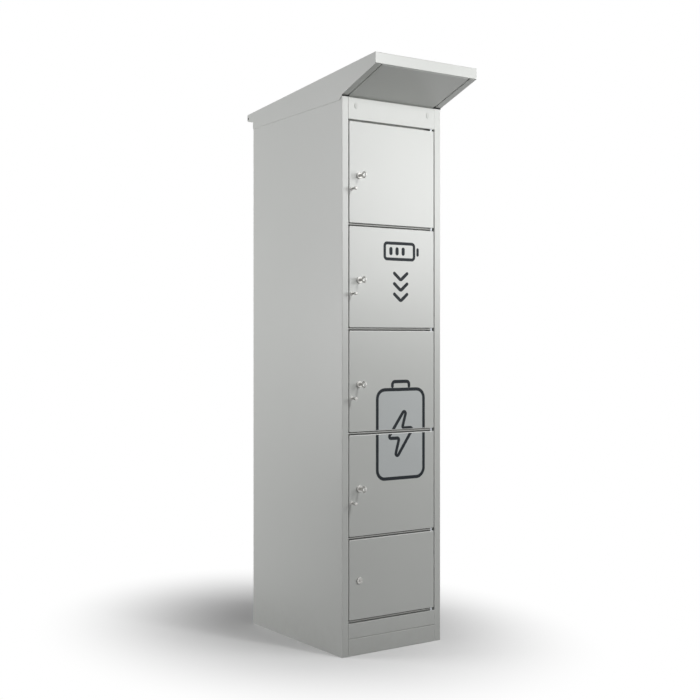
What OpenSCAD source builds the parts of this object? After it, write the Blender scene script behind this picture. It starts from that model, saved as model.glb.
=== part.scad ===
/* [Carcass] */
// Width of the body over both side panels
body_w = 400; // [370:5:480]
// Depth of the body from its front face to its back
body_d = 560; // [480:5:640]
// Thickness of the body's folded sheet steel
sheet = 1.2; // [1:0.1:1.5]
// Inside radius of every fold
fold_r = 0.8; // [0.5:0.1:1.2]
// Width of each front post
post_w = 25; // [22:1:32]
// Depth of each front post
post_d = 24; // [23:0.5:28]
// Width of the door stop behind the lock side of the door
stop_w = 15; // [13:1:20]
// Width of the folds at the rear of the side panels
rear_fold = 18; // [14:1:26]

/* [Bays] */
// Height of the plinth strips
plinth_h = 55; // [45:1:80]
// Height from the top of the plinth to the middle of the lowest gap
sill_h = 54; // [40:1:80]
// Height of the technical bay, from gap to gap
tech_h = 266; // [230:2:330]
// Height of each battery bay, from gap to gap
bay_h = 334; // [280:2:360]
// Height of the header panel
header_h = 70; // [60:1:90]
// Gap between the edges of two doors
rail_gap = 10; // [9:0.5:12]
// Height of the shelf nose that shows in the gap
nose_h = 5; // [4.5:0.1:5.5]
// Gap between the upper door and the nose
nose_drop = 2; // [1.5:0.1:2.4]
// How far the nose lies behind the front face
nose_back = 1.5; // [1:0.1:3]
// How far a door stop reaches past the edge of a door
stop_lap = 9; // [7:0.5:12]
// Height of the folds along the sides and back of a shelf
shelf_fold = 15; // [12:1:22]

/* [Doors] */
// Depth of a door's folded edges
door_t = 18; // [17:0.2:19]
// Gap beside each door
side_gap = 3; // [2.5:0.1:3.5]
// Gap above the top door
top_gap = 6; // [5:0.5:8]
// Width of the lip folded in behind the door
door_lip = 12; // [9:0.5:14]
// Depth of the hat section that stiffens a door
hat_d = 12; // [9:0.5:14]
// Width of the hat section's crown
hat_w = 26; // [18:1:40]
// Distance from the door's edge to its hinge pin
hinge_in = 9; // [8.5:0.1:9.4]
// Distance from the door's face to its hinge pin
hinge_back = 6.5; // [6:0.1:7]
// Radius of the hinge pins
pin_r = 2.5; // [2:0.1:2.8]
// Running clearance between hinge pin and door
pin_fit = 0.06; // [0.03:0.01:0.09]
// How far a hinge pin reaches into a door
pin_reach = 8; // [6:0.5:12]
// Thickness of the plate that backs each hinge hole
hinge_plate = 2.5; // [2:0.1:3]
// Diameter of the rubber door buffers
buffer_dia = 8; // [6:0.5:10]

/* [Locks] */
// Distance from the door's edge to the lock
lock_in = 39; // [36:0.5:48]
// How far a battery door's lock lies below its middle
lock_drop = 10; // [0:1:30]
// How far the technical door's lock lies below its middle
tech_lock_drop = 4; // [0:1:20]
// Diameter of the lock case behind the door
case_dia = 18; // [17:0.5:20]
// Diameter of the lock's collar
collar_dia = 21; // [20.5:0.5:24]
// Height of the lock's collar
collar_h = 3.6; // [3:0.2:5]
// Diameter of the lock barrel
barrel_dia = 12; // [11:0.5:13]
// Running clearance around the lock barrel
barrel_fit = 0.06; // [0.03:0.01:0.09]
// Length of the cam from the lock's axis to its end
cam_len = 36; // [34:0.5:40]
// Width of the cam
cam_w = 15; // [12:0.5:18]
// Thickness of the cam
cam_t = 2.5; // [2:0.1:3]
// Thickness of the key
key_t = 2; // [1.6:0.1:2.4]
// Height of the key's blade
key_h = 6.6; // [5.5:0.1:7.4]
// Length of the key's blade
key_len = 19; // [16:0.5:20]
// Diameter of the key's round bow
bow_dia = 22; // [19:0.5:26]
// How far the key pulls out
key_pull = 24; // [22:0.5:30]
// Height of the pull knob over the door's face
knob_h = 28; // [20:0.5:34]
// Diameter of the pull knob's head
knob_dia = 11; // [9:0.5:13]
// Distance from the door's edge to the knob
knob_in = 9; // [8:0.5:14]
// How far the knob lies below the lock
knob_drop = 44; // [38:1:60]

/* [Roof] */
// How far the roof reaches in front of the body
roof_front = 184; // [120:2:240]
// How far the roof reaches behind the body
roof_rear = 39; // [28:1:60]
// Height of the roof's front edge above the body
roof_rise = 104; // [90:1:130]
// Height of the roof's rear edge above the body
roof_low = 31; // [26:1:44]
// Height of the roof's front edge fold
fascia_h = 35; // [24:1:40]
// Height of the drip fold at the rear
drip_h = 22; // [14:1:26]
// How far the roof's side walls come down the body at the front
skirt_front = 12; // [6:1:24]
// How far the roof's side walls come down the body at the back
skirt_rear = 24; // [14:1:40]
// Width of the side lips folded in under the overhang
lip_w = 24; // [12:1:30]
// Gap between the roof's lower edge and the top of the body at the front
eave_gap = 4; // [1:0.5:6]
// Width of the open groove between each side lip and the soffit
groove_w = 4; // [3:0.5:8]
// Clearance between the roof's side walls and the body
roof_fit = 0.3; // [0.2:0.05:0.5]
// Distance from the side of the body to the roof brackets
bracket_in = 50; // [36:1:80]

/* [Power] */
// Diameter of the plug well of a socket outlet
well_dia = 39.4; // [38.6:0.1:40]
// Depth of the plug well
well_d = 17.5; // [16:0.5:18]
// Side of a socket outlet's square face plate
plate_w = 54; // [52:1:60]
// Height of a socket outlet above the shelf's middle line
socket_up = 190; // [120:2:220]
// Width of the wiring duct
duct_w = 82; // [74:1:96]
// Depth of the wiring duct
duct_d = 48; // [44:1:60]
// Radius of a socket lead
lead_r = 3.5; // [2.5:0.1:4]
// Radius of the hole that takes the mains cable
cable_r = 5.5; // [4:0.1:6]
// Height of the cable gland above the technical bay's floor
gland_up = 62; // [40:1:90]
// Width of the breaker
breaker_w = 36; // [34:0.5:54]

/* [Fixings] */
// Radius of the four floor anchor holes
anchor_r = 5.5; // [4:0.25:6]
// Distance from the side of the body to the anchor holes
anchor_side = 22; // [16:1:30]
// Distance from the front or back of the body to the anchor holes
anchor_v = 80; // [60:5:140]
// Radius of the wall fixing holes
wall_r = 4.5; // [3:0.25:5.5]
// Distance between the wall fixing holes
wall_x = 260; // [160:5:280]
// Height of the wall fixing holes below the body's top
wall_down = 60; // [40:1:100]

/* [Hidden] */
$fn = 40;

// Colours of the finishes
light_grey = [0.80, 0.81, 0.79];
door_grey = [0.83, 0.84, 0.82];
zinc = [0.70, 0.71, 0.72];
nickel = [0.78, 0.77, 0.74];
black_rubber = [0.10, 0.10, 0.11];
white_plastic = [0.92, 0.92, 0.90];
grey_plastic = [0.62, 0.63, 0.63];
pale_plastic = [0.78, 0.79, 0.77];
copper_brass = [0.78, 0.62, 0.30];

// Clearances between pieces that are welded, screwed or set side by side
seat = 0.2;
hair = 0.02;
cut = 1;

// Body planes: x runs across, v is the depth behind the front face, z is the height
half_w = body_w / 2;
inner_w = half_w - sheet;
front_y = roof_front - (roof_front + body_d + roof_rear) / 2;
bays = 4;
floor_z = plinth_h + sill_h;
first_gap = floor_z + tech_h;
top_gap_z = first_gap + bays * bay_h;
header_z = top_gap_z - rail_gap / 2 + top_gap;
body_h = header_z + header_h;
fold_out = fold_r + sheet;
back_v = body_d - sheet - seat;
back_in = back_v - sheet;
post_in = half_w - post_w;

// Doors: number 1 is the top one, number 5 closes the technical bay
door_w = body_w - 2 * post_w - 2 * side_gap;
door_x = side_gap - post_in;
stop_v = door_t + 2.5;
stop_z = rail_gap / 2 + stop_lap;
nose_top = rail_gap / 2 - nose_drop;
hinge_x = door_x + door_w - hinge_in;
swing_r = norm([hinge_in, door_t - hinge_back]);
swing_gap = 1.2;
stop_end = hinge_x - swing_r - swing_gap;
hinge_wall = post_d + 0.6;
knuckle_w = 9;
knuckle_gap = 0.4;
knuckle_z = rail_gap / 2 - knuckle_gap;

function gap_z(n) = n == 5 ? floor_z : first_gap + (4 - n) * bay_h;
function door_low(n) = gap_z(n) + rail_gap / 2;
function door_high(n) = (n == 5 ? first_gap : gap_z(n) + bay_h) - rail_gap / 2;
function door_tall(n) = door_high(n) - door_low(n);
function lock_z(n) = (door_low(n) + door_high(n)) / 2 - (n == 5 ? tech_lock_drop : lock_drop);
lock_x = door_x + lock_in;

// Lock parts along the depth, with the cam just behind the door stop
cam_v = stop_v + sheet + 0.9;
case_end = cam_v - 0.5;
tail_w = 7;
nut_flats = 24;
nut_t = 4;

// Roof: height of the top sheet's outer face at a depth
roof_run = roof_front + body_d + roof_rear;
roof_slope = (roof_rise - roof_low) / roof_run;
roof_cos = 1 / norm([1, roof_slope]);
function roof_z(v) = body_h + roof_rise - roof_slope * (v + roof_front);
eave_z = roof_z(-roof_front) - fascia_h;
eave_fall = [roof_front, body_h + eave_gap - eave_z];
eave_dir = eave_fall / norm(eave_fall);
roof_half = half_w + roof_fit + sheet;

// Wiring duct in the rear right corner and what it carries
duct_x = inner_w - seat - duct_w;
duct_v = back_in - seat - duct_d;
socket_x = inner_w - duct_w / 2;
function socket_z(n) = gap_z(n) + socket_up;
plate_t = 3;
cup_wall = 3;
cup_r = well_dia / 2 + cup_wall;
pin_pitch = 19;
contact_r = 3.2;

// Technical bay
tech_z = floor_z + stop_z;
rail_z = floor_z + tech_h * 0.56;
rail_v = back_in - seat;
rail_t = 1;
rail_hat = 7.5;
rail_half = 17.5;
breaker_x = -40;
function pole_x(side) = breaker_x + side * breaker_w / 4;
breaker_v = rail_v - rail_hat;
breaker_d = 58;
breaker_h = 84;
nose_front = 14;
gland_x = -120;
gland_z = tech_z + gland_up;
gland_r = 10;
gland_hex = 24;

// Direction of the line from a to b, its left-hand normal and a turned vector
function way(a, b) = (b - a) / norm(b - a);
function left_of(d) = [-d[1], d[0]];
function turned(d, a) = [d[0] * cos(a) - d[1] * sin(a), d[0] * sin(a) + d[1] * cos(a)];
function flat_cross(a, b) = a[0] * b[1] - a[1] * b[0];

// Points of one fold: the arc at corner p between directions d1 and d2, at a distance off
// from the face that the path describes
function fold_arc(p, d1, d2, t, r, off) =
    let (
        side = sign(flat_cross(d1, d2)),
        bend = atan2(flat_cross(d1, d2), d1 * d2),
        face_r = side > 0 ? r + t : r,
        arc_r = side > 0 ? face_r - off : face_r + off,
        middle = p + side * face_r * (left_of(d1) + left_of(d2)) / (1 + d1 * d2)
    )
    [for (i = [0:3]) middle - side * arc_r * turned(left_of(d1), bend * i / 3)];

// One face of a folded strip, and the closed outline of the strip
function fold_face(path, t, r, off) = concat(
    [path[0] + left_of(way(path[0], path[1])) * off],
    [for (i = [1:1:len(path) - 2])
        each fold_arc(path[i], way(path[i - 1], path[i]), way(path[i], path[i + 1]), t, r, off)],
    [path[len(path) - 1] + left_of(way(path[len(path) - 2], path[len(path) - 1])) * off]
);
function backwards(list) = [for (i = [len(list) - 1:-1:0]) list[i]];
function strip(path, t = sheet, r = fold_r) =
    concat(fold_face(path, t, r, 0), backwards(fold_face(path, t, r, t)));

// Moves children from depth v to the frame of the part
module at_front() {
    translate([0, front_y, 0]) children();
}

// A plan outline in x and v, extruded from height z0 to z1
module upright(outline, z0, z1) {
    translate([0, 0, z0]) linear_extrude(z1 - z0) polygon(outline);
}

// A section in v and z, extruded across from x0 to x1
module across(section, x0, x1) {
    translate([x0, 0, 0]) rotate([90, 0, 90]) linear_extrude(x1 - x0) polygon(section);
}

// A block between two corners
module block(low, high) {
    translate(low) cube(high - low);
}

// A rod along the depth from v0 to v1
module rod_v(x, z, r, v0, v1) {
    translate([x, v0, z]) rotate([-90, 0, 0]) cylinder(h = v1 - v0, r = r);
}

// A hexagon prism along the depth
module hex_v(x, z, flats, v0, v1) {
    translate([x, v0, z]) rotate([-90, 0, 0]) rotate(30) cylinder(h = v1 - v0, d = flats / cos(30), $fn = 6);
}

// A slot with round ends along the depth, for cutting and for plugs
module slot_v(x, z, w, h, v0, v1) {
    rod_v(x, z - (h - w) / 2, w / 2, v0, v1);
    rod_v(x, z + (h - w) / 2, w / 2, v0, v1);
    block([x - w / 2, v0, z - (h - w) / 2], [x + w / 2, v1, z + (h - w) / 2]);
}

// Side panels: one sheet folded into the front post, the side and the rear fold
module anchor_fold() {
    difference() {
        block([-inner_w - hair, anchor_v - 40, 0],
            [-half_w + 2 * anchor_side, body_d - anchor_v + 40, sheet]);
        for (v = [anchor_v, body_d - anchor_v])
            translate([-half_w + anchor_side, v, -cut]) cylinder(h = sheet + 2 * cut, r = anchor_r);
    }
}

module left_side_panel() {
    color(light_grey) at_front() {
        upright(strip([
            [-half_w + rear_fold, body_d], [-half_w, body_d], [-half_w, 0], [-post_in, 0],
            [-post_in, stop_v], [-post_in + stop_w, stop_v]
        ]), 0, body_h);
        anchor_fold();
    }
}

module right_side_panel() {
    post_lip = post_w / 2;
    color(light_grey) at_front() mirror([1, 0, 0]) {
        upright(strip([
            [-half_w + rear_fold, body_d], [-half_w, body_d], [-half_w, 0], [-post_in, 0],
            [-post_in, post_d], [-post_in - post_lip, post_d]
        ]), 0, body_h);
        anchor_fold();
    }
}

// Back panel: one sheet behind all bays, with vent slots, wall fixings and the cable inlet
vent_w = 6;
vent_h = 28;
vent_pitch = 36;
vent_count = 6;
vent_down = 44;

module back_panel() {
    half = inner_w - fold_r;
    color(light_grey) at_front() difference() {
        block([-half, back_in, 0], [half, back_v, body_h]);
        for (n = [1:5])
            for (i = [0:vent_count - 1])
                slot_v((duct_x - half) / 2 + vent_pitch * (i - (vent_count - 1) / 2),
                    (n == 5 ? first_gap : gap_z(n) + bay_h) - vent_down, vent_w, vent_h,
                    back_in - cut, back_v + cut);
        for (side = [-1, 1])
            rod_v(side * wall_x / 2, body_h - wall_down, wall_r, back_in - cut, back_v + cut);
        rod_v(gland_x, gland_z, gland_r + seat, back_in - cut, back_v + cut);
    }
}

// Top panel: a tray turned over, with the holes for the roof's bolts
bolt_r = 3;
bolt_hole = 3.3;
bracket_t = 1.5;
bracket_foot = 26;
bracket_x = half_w - bracket_in;
bracket_front = 70;
bracket_rear = 60;
bracket_v0 = bracket_front;
bracket_v1 = body_d - bracket_rear;
bolt_v = [bracket_v0 + 40, bracket_v1 - 40];
bolt_x = bracket_x - bracket_foot / 2 - 2;

module at_bolts() {
    for (side = [-1, 1])
        for (v = bolt_v)
            translate([side * bolt_x, v, 0]) children();
}

module top_panel() {
    half = inner_w - seat;
    v0 = post_d + 1.2;
    v1 = back_in - seat;
    low = body_h - shelf_fold;
    color(light_grey) at_front() difference() {
        union() {
            across(strip([[v1, low], [v1, body_h], [v0, body_h], [v0, low]]), -half, half);
            for (side = [0, 1])
                mirror([side, 0, 0])
                    block([half - sheet, v0 + fold_out, low], [half, v1 - fold_out, body_h - fold_r]);
        }
        at_bolts() translate([0, 0, body_h - sheet - cut]) cylinder(h = sheet + 2 * cut, r = bolt_hole);
    }
}

// Shelves and floor: one sheet folded into the deck, the door stop and the nose in the gap
module deck_wing(zc, x0, x1, v0) {
    across(strip([
        [back_in - seat, zc + stop_z - shelf_fold], [back_in - seat, zc + stop_z],
        [v0, zc + stop_z], [v0, zc - stop_z]
    ]), x0, x1);
}

module nose_piece(zc, x0, x1, v1) {
    low = zc + nose_top - nose_h;
    across(strip([[v1, zc + nose_top], [nose_back, zc + nose_top], [nose_back, low], [v1, low]]), x0, x1);
}

module deck(zc) {
    half = inner_w - seat;
    stop_x = -post_in + stop_w + seat;
    low = zc + nose_top - nose_h;
    across(strip([
        [back_in - seat, zc + stop_z - shelf_fold], [back_in - seat, zc + stop_z],
        [stop_v, zc + stop_z], [stop_v, zc + nose_top], [nose_back, zc + nose_top],
        [nose_back, low], [stop_v, low], [stop_v, zc - stop_z]
    ]), stop_x, stop_end);
    deck_wing(zc, -half, stop_x, stop_v + sheet + 0.6);
    deck_wing(zc, stop_end, half, hinge_wall);
    nose_piece(zc, -post_in + seat, stop_x, stop_v - seat);
    nose_piece(zc, stop_end, hinge_x - knuckle_w / 2 - seat, hinge_wall + sheet / 2);
    for (side = [-1, 1])
        block([side < 0 ? -half : half - sheet, hinge_wall + fold_out, zc + stop_z - shelf_fold],
            [side < 0 ? -half + sheet : half, back_in - seat - fold_out, zc + stop_z - fold_r]);
}

module shelf(n) {
    gap = 1.5;
    color(light_grey) at_front() difference() {
        deck(gap_z(n));
        block([duct_x - gap, duct_v - gap, gap_z(n) - stop_z - cut],
            [half_w, body_d, gap_z(n) + stop_z + cut]);
        block([duct_x - duct_lip - gap, back_in - seat - sheet - gap, gap_z(n) - stop_z - cut],
            [duct_x, body_d, gap_z(n) + stop_z + cut]);
    }
}
module shelf_1() { shelf(1); }
module shelf_2() { shelf(2); }
module shelf_3() { shelf(3); }
module shelf_4() { shelf(4); }

module floor_panel() {
    color(light_grey) at_front() deck(floor_z);
}

// Header, bottom rail and plinth strip between the posts
slot_in = 30;
slot_down = 26;
plug_w = 10;
plug_h = 16;
seam = 0.3;

module header_panel() {
    top = [[stop_v - seat, body_h], [0, body_h], [0, header_z]];
    stop_x = -post_in + stop_w + seat;
    color(light_grey) at_front() difference() {
        union() {
            across(strip(concat(top, [[stop_v, header_z], [stop_v, top_gap_z - stop_z]])), stop_x, stop_end);
            across(strip(concat(top, [[stop_v - seat, header_z]])), -post_in + seam, stop_x);
            across(strip(concat(top, [[stop_v - seat, header_z]])), stop_end, post_in - seam);
        }
        for (side = [-1, 1])
            slot_v(side * (post_in - slot_in), body_h - slot_down, plug_w, plug_h, -cut, sheet + cut);
    }
}

module header_plugs() {
    rim = 1;
    rim_t = 1.2;
    stem = 6;
    color(pale_plastic) at_front()
        for (side = [-1, 1]) {
            slot_v(side * (post_in - slot_in), body_h - slot_down,
                plug_w + 2 * rim, plug_h + 2 * rim, -rim_t, 0);
            slot_v(side * (post_in - slot_in), body_h - slot_down, plug_w - seat, plug_h - seat, -hair, stem);
        }
}

module bottom_rail() {
    high = floor_z - rail_gap / 2;
    low = plinth_h + seam;
    color(light_grey) at_front()
        across(strip([[stop_v - seat, high], [0, high], [0, low], [stop_v - seat, low]]),
            -post_in + seam, post_in - seam);
}

module plinth_strip() {
    high = plinth_h - seam;
    color(light_grey) at_front()
        across(strip([[stop_v - seat, high], [0, high], [0, 0], [stop_v - seat, 0]]),
            -post_in + seam, post_in - seam);
}

// Hinges: a knuckle in each gap, with a pin that reaches into the doors above and below
function pin_low(n) = n == 5 ? floor_z - knuckle_z : gap_z(n) - rail_gap / 2 - pin_reach;

module knuckle(z0, z1, v1) {
    translate([0, 0, z0]) linear_extrude(z1 - z0) difference() {
        union() {
            translate([hinge_x, hinge_back]) circle(r = knuckle_w / 2);
            translate([hinge_x - knuckle_w / 2, hinge_back]) square([knuckle_w, v1 - hinge_back]);
        }
        translate([hinge_x, hinge_back]) circle(r = pin_r + hair);
    }
}

module hinge_knuckles() {
    color(zinc) at_front() {
        for (n = [1:5])
            knuckle(gap_z(n) - knuckle_z, gap_z(n) + knuckle_z, hinge_wall);
        knuckle(top_gap_z - knuckle_z, header_z, stop_v - seat);
    }
}

module pin(z0, z1) {
    tip = 0.6;
    translate([hinge_x, hinge_back, 0]) {
        translate([0, 0, z0]) cylinder(h = tip, r1 = pin_r - tip, r2 = pin_r);
        translate([0, 0, z0 + tip]) cylinder(h = z1 - z0 - 2 * tip, r = pin_r);
        translate([0, 0, z1 - tip]) cylinder(h = tip, r1 = pin_r, r2 = pin_r - tip);
    }
}

module hinge_pins() {
    color(nickel) at_front() {
        for (n = [1:5])
            pin(pin_low(n), gap_z(n) + rail_gap / 2 + pin_reach);
        pin(top_gap_z - rail_gap / 2 - pin_reach, header_z - seat);
    }
}

// Rubber buffers on the stop behind the lock side of each door
module door_buffers() {
    from_end = 42;
    color(black_rubber) at_front()
        for (n = [1:5])
            for (z = [door_low(n) + from_end, door_high(n) - from_end])
                rod_v(-post_in + stop_w / 2 + 0.8, z, buffer_dia / 2, door_t + 0.3, stop_v);
}

// Roof: the top sheet with its front and rear folds, side walls, and side lips with open hems
function eave_at(s, lift) = [-roof_front, eave_z] + s * eave_dir + lift * left_of(eave_dir);
eave_len = roof_front / eave_dir[0];
hem_w = 8;
hem_t = 2 * fold_out + 0.1;

// A section in x and lift, extruded along the roof's lower edge from s0 to s1
module along_eave(section, s0, s1) {
    translate([0, -roof_front, eave_z]) rotate([asin(eave_dir[1]), 0, 0])
        translate([0, s1, 0]) rotate([90, 0, 0]) linear_extrude(s1 - s0) polygon(section);
}

module roof_sheet() {
    rear = body_d + roof_rear;
    under = sheet / 2;
    lip_x = roof_half - lip_w;
    color(light_grey) at_front() {
        across(strip([
            [rear, roof_z(rear) - drip_h], [rear, roof_z(rear)], [-roof_front, roof_z(-roof_front)],
            [-roof_front, eave_z], [hem_t - roof_front, eave_z], [hem_t - roof_front, eave_z + hem_w]
        ]), -roof_half, roof_half);
        for (side = [0, 1])
            mirror([side, 0, 0]) {
                across([
                    eave_at(under, under), [0, body_h + eave_gap + under], [0, body_h],
                    [sheet + skirt_front, body_h - skirt_front],
                    [body_d, body_h - skirt_rear], [body_d, roof_z(body_d) - under],
                    [under - roof_front, roof_z(under - roof_front) - under]
                ], roof_half - sheet, roof_half);
                along_eave(strip([
                    [lip_x + hem_w, hem_t], [lip_x, hem_t], [lip_x, 0], [roof_half, 0]
                ]), hem_t - 0.1, eave_len - 1);
            }
    }
}

// Soffit: a tray flush with the side lips, hung on them by its rims, that laps over the body
module soffit_panel() {
    front = hem_t + seat;
    tray_x = roof_half - lip_w - groove_w;
    flat_x = tray_x - fold_out;
    rim_x = roof_half - sheet - seat;
    start = eave_at(front, 0);
    lap_z = body_h + seat;
    bend = start + eave_dir * (lap_z - start[1]) / eave_dir[1];
    color(light_grey) at_front() {
        across(strip([eave_at(front, hem_w), start, bend, [bracket_v0 - 10, lap_z]]), -flat_x, flat_x);
        for (side = [0, 1])
            mirror([side, 0, 0]) along_eave(strip([
                [flat_x - hair, 0], [tray_x, 0], [tray_x, front], [rim_x, front]
            ]), front, eave_len - 1);
    }
}

// Brackets between top panel and roof
function roof_under(v) = roof_z(v) - sheet / roof_cos - seat;

module roof_brackets() {
    top0 = roof_under(bracket_v0);
    top1 = roof_under(bracket_v1);
    color(zinc) at_front() for (side = [0, 1]) mirror([side, 0, 0]) {
        across([[bracket_v0, body_h], [bracket_v1, body_h], [bracket_v1, top1], [bracket_v0, top0]],
            bracket_x - bracket_t, bracket_x);
        across([[bracket_v0, top0 - bracket_t], [bracket_v1, top1 - bracket_t],
            [bracket_v1, top1], [bracket_v0, top0]],
            bracket_x - bracket_foot, bracket_x);
        difference() {
            block([bracket_x - bracket_foot, bracket_v0, body_h],
                [bracket_x, bracket_v1, body_h + bracket_t]);
            for (v = bolt_v)
                translate([bolt_x, v, body_h - cut]) cylinder(h = bracket_t + 2 * cut, r = bolt_hole);
        }
    }
}

module roof_bolts() {
    flats = 10;
    head_t = 4;
    nut_h = 5;
    over = 8;
    color(zinc) at_front() at_bolts() {
        translate([0, 0, body_h - sheet - head_t]) cylinder(h = head_t, d = flats / cos(30), $fn = 6);
        translate([0, 0, body_h - sheet - hair]) cylinder(h = sheet + bracket_t + over, r = bolt_r);
        translate([0, 0, body_h + bracket_t]) difference() {
            cylinder(h = nut_h, d = flats / cos(30), $fn = 6);
            translate([0, 0, -cut]) cylinder(h = nut_h + 2 * cut, r = bolt_r + hair);
        }
    }
}

// Wiring duct: a folded cover in the rear right corner, with a round hole for each socket
duct_lip = 14;
duct_tail = 50;
duct_head = 45;
duct_low = first_gap - duct_tail;
duct_high = socket_z(1) + duct_head;

module wiring_duct() {
    wall_v = back_in - seat - sheet;
    side_x = inner_w - seat;
    color(light_grey) at_front() difference() {
        union() {
            upright(strip([
                [duct_x - duct_lip, wall_v], [duct_x, wall_v], [duct_x, duct_v],
                [side_x, duct_v], [side_x, duct_v + duct_lip]
            ]), duct_low, duct_high);
            block([duct_x + hair, duct_v + hair, duct_high - sheet], [side_x, wall_v, duct_high]);
        }
        for (n = [1:4])
            rod_v(socket_x, socket_z(n), cup_r + seat, duct_v - cut, duct_v + sheet + cut);
    }
}

// Socket outlets: a face plate with a round well, and a terminal housing behind its floor
cup_floor = 3;
cup_end = duct_v - plate_t + well_d + cup_floor;
housing_w = 30;
housing_d = 31;
housing_end = duct_v + housing_d;
sleeve_in = 2.4;
clip_w = 5;
clip_t = 1.2;

module at_sockets() {
    for (n = [1:4])
        translate([socket_x, 0, socket_z(n)]) children();
}

module round_plate(w, r, v0, v1) {
    for (x = [-1, 1])
        for (z = [-1, 1])
            rod_v(x * (w / 2 - r), z * (w / 2 - r), r, v0, v1);
    block([-w / 2, v0, r - w / 2], [w / 2, v1, w / 2 - r]);
    block([r - w / 2, v0, -w / 2], [w / 2 - r, v1, w / 2]);
}

module socket_outlets() {
    front = duct_v - plate_t;
    color(white_plastic) at_front() at_sockets() difference() {
        union() {
            round_plate(plate_w, 6, front, duct_v);
            rod_v(0, 0, cup_r, duct_v - hair, cup_end);
            block([-housing_w / 2, cup_end - hair, -housing_w / 2],
                [housing_w / 2, housing_end, housing_w / 2]);
        }
        rod_v(0, 0, well_dia / 2, front - cut, front + well_d);
        for (side = [-1, 1]) {
            rod_v(side * pin_pitch / 2, 0, sleeve_in + seat, front + well_d - cut, cup_end + hair);
            rod_v(side * pin_pitch / 2, 0, contact_r, cup_end, housing_end + cut);
            block([-clip_w / 2, front + 2, side > 0 ? well_dia / 2 - 1 : -well_dia / 2 - clip_t - hair],
                [clip_w / 2, front + well_d, side > 0 ? well_dia / 2 + clip_t + hair : 1 - well_dia / 2]);
        }
    }
}

module socket_contacts() {
    front = duct_v - plate_t;
    clip_gap = 0.3;
    color(copper_brass) at_front() at_sockets()
        for (side = [-1, 1]) {
            difference() {
                rod_v(side * pin_pitch / 2, 0, contact_r - hair, cup_end + hair, housing_end);
                rod_v(side * pin_pitch / 2, 0, sleeve_in, cup_end - cut, housing_end - 2);
            }
            block([-clip_w / 2 + hair, front + 2.2,
                side > 0 ? well_dia / 2 + clip_gap : -well_dia / 2 - clip_t],
                [clip_w / 2 - hair, front + well_d,
                    side > 0 ? well_dia / 2 + clip_t : -well_dia / 2 - clip_gap]);
        }
}

// Technical bay: rail, breaker with its lever and test button, terminal block
rail_x0 = -100;
rail_x1 = 92;

module din_rail() {
    lip_v = rail_v - rail_hat + rail_t;
    base = rail_half - 5;
    color(zinc) at_front() across(strip([
        [lip_v, rail_z - rail_half], [lip_v, rail_z - base], [rail_v, rail_z - base],
        [rail_v, rail_z + base], [lip_v, rail_z + base], [lip_v, rail_z + rail_half]
    ], rail_t, 0.6), rail_x0, rail_x1);
}

lever_v = breaker_v - breaker_d + 7;
lever_z = rail_z + 5;
lever_hub = 6;
lever_w = 9;
lever_len = 16;
lever_up = 35;
lever_gap = 0.4;
button_r = 3.4;
button_z = rail_z - 14;
button_t = 7;
button_out = 1.6;

module breaker() {
    front = breaker_v - breaker_d;
    shoulder = breaker_v - breaker_d + nose_front;
    high = breaker_h / 2;
    nose = 23;
    color(white_plastic) at_front() difference() {
        across([
            [breaker_v - 0.1, rail_z - high], [breaker_v - 0.1, rail_z + high], [shoulder, rail_z + high],
            [shoulder, rail_z + nose + 2], [front + 1, rail_z + nose], [front, rail_z + nose - 1],
            [front, rail_z - nose + 1], [front + 1, rail_z - nose],
            [shoulder, rail_z - nose - 2], [shoulder, rail_z - high]
        ], breaker_x - breaker_w / 2, breaker_x + breaker_w / 2);
        translate([pole_x(-1) - lever_w / 2 - lever_gap, lever_v, lever_z]) rotate([0, 90, 0])
            cylinder(h = lever_w + 2 * lever_gap, r = lever_hub + lever_gap);
        block([pole_x(-1) - lever_w / 2 - lever_gap, front - cut, lever_z - 8],
            [pole_x(-1) + lever_w / 2 + lever_gap, lever_v, lever_z + 8]);
        rod_v(pole_x(1), button_z, button_r + 0.2, front - cut, front + button_t);
        for (side = [-1, 1])
            for (z = [-1, 1]) {
                rod_v(pole_x(side), rail_z + z * (high - 8), 2.8, shoulder - cut, shoulder + 6);
                block([pole_x(side) - 3.2, shoulder + 8, rail_z + (z > 0 ? high - 5 : -high - cut)],
                    [pole_x(side) + 3.2, shoulder + 15, rail_z + (z > 0 ? high + cut : 5 - high)]);
            }
        block([breaker_x - hair, front - cut, rail_z - high - cut],
            [breaker_x + 0.4, front + 0.6, rail_z + high + cut]);
    }
}

module breaker_lever() {
    color(black_rubber) at_front()
        translate([pole_x(-1) - lever_w / 2, lever_v, lever_z]) rotate([-lever_up, 0, 0]) {
            rotate([0, 90, 0]) cylinder(h = lever_w, r = lever_hub);
            block([0, -lever_len, -2.2], [lever_w, 0, 2.2]);
        }
}

module breaker_test_button() {
    front = breaker_v - breaker_d;
    color([0.85, 0.70, 0.20]) at_front()
        rod_v(pole_x(1), button_z, button_r, front - button_out, front + button_t - button_out - 0.4);
}

term_x0 = 18;
term_pitch = 6;
term_count = 12;
term_d = 44;
term_h = 40;
term_high = rail_z + term_h / 2;

module terminal_block() {
    front = breaker_v - term_d;
    wide = term_count * term_pitch;
    color(grey_plastic) at_front() difference() {
        across([
            [breaker_v - 0.1, rail_z - term_h / 2], [breaker_v - 0.1, term_high], [front + 10, term_high],
            [front, term_high - 10], [front, rail_z - term_h / 2 + 10], [front + 10, rail_z - term_h / 2]
        ], term_x0, term_x0 + wide);
        for (i = [1:term_count - 1])
            block([term_x0 + i * term_pitch - 0.25, front - cut, rail_z - term_h / 2 - cut],
                [term_x0 + i * term_pitch + 0.25, front + 3, term_high + cut]);
        for (i = [0:term_count - 1])
            for (z = [-1, 1])
                rod_v(term_x0 + (i + 0.5) * term_pitch, rail_z + z * 5, 1.8, front - cut, front + 4);
    }
}

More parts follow.
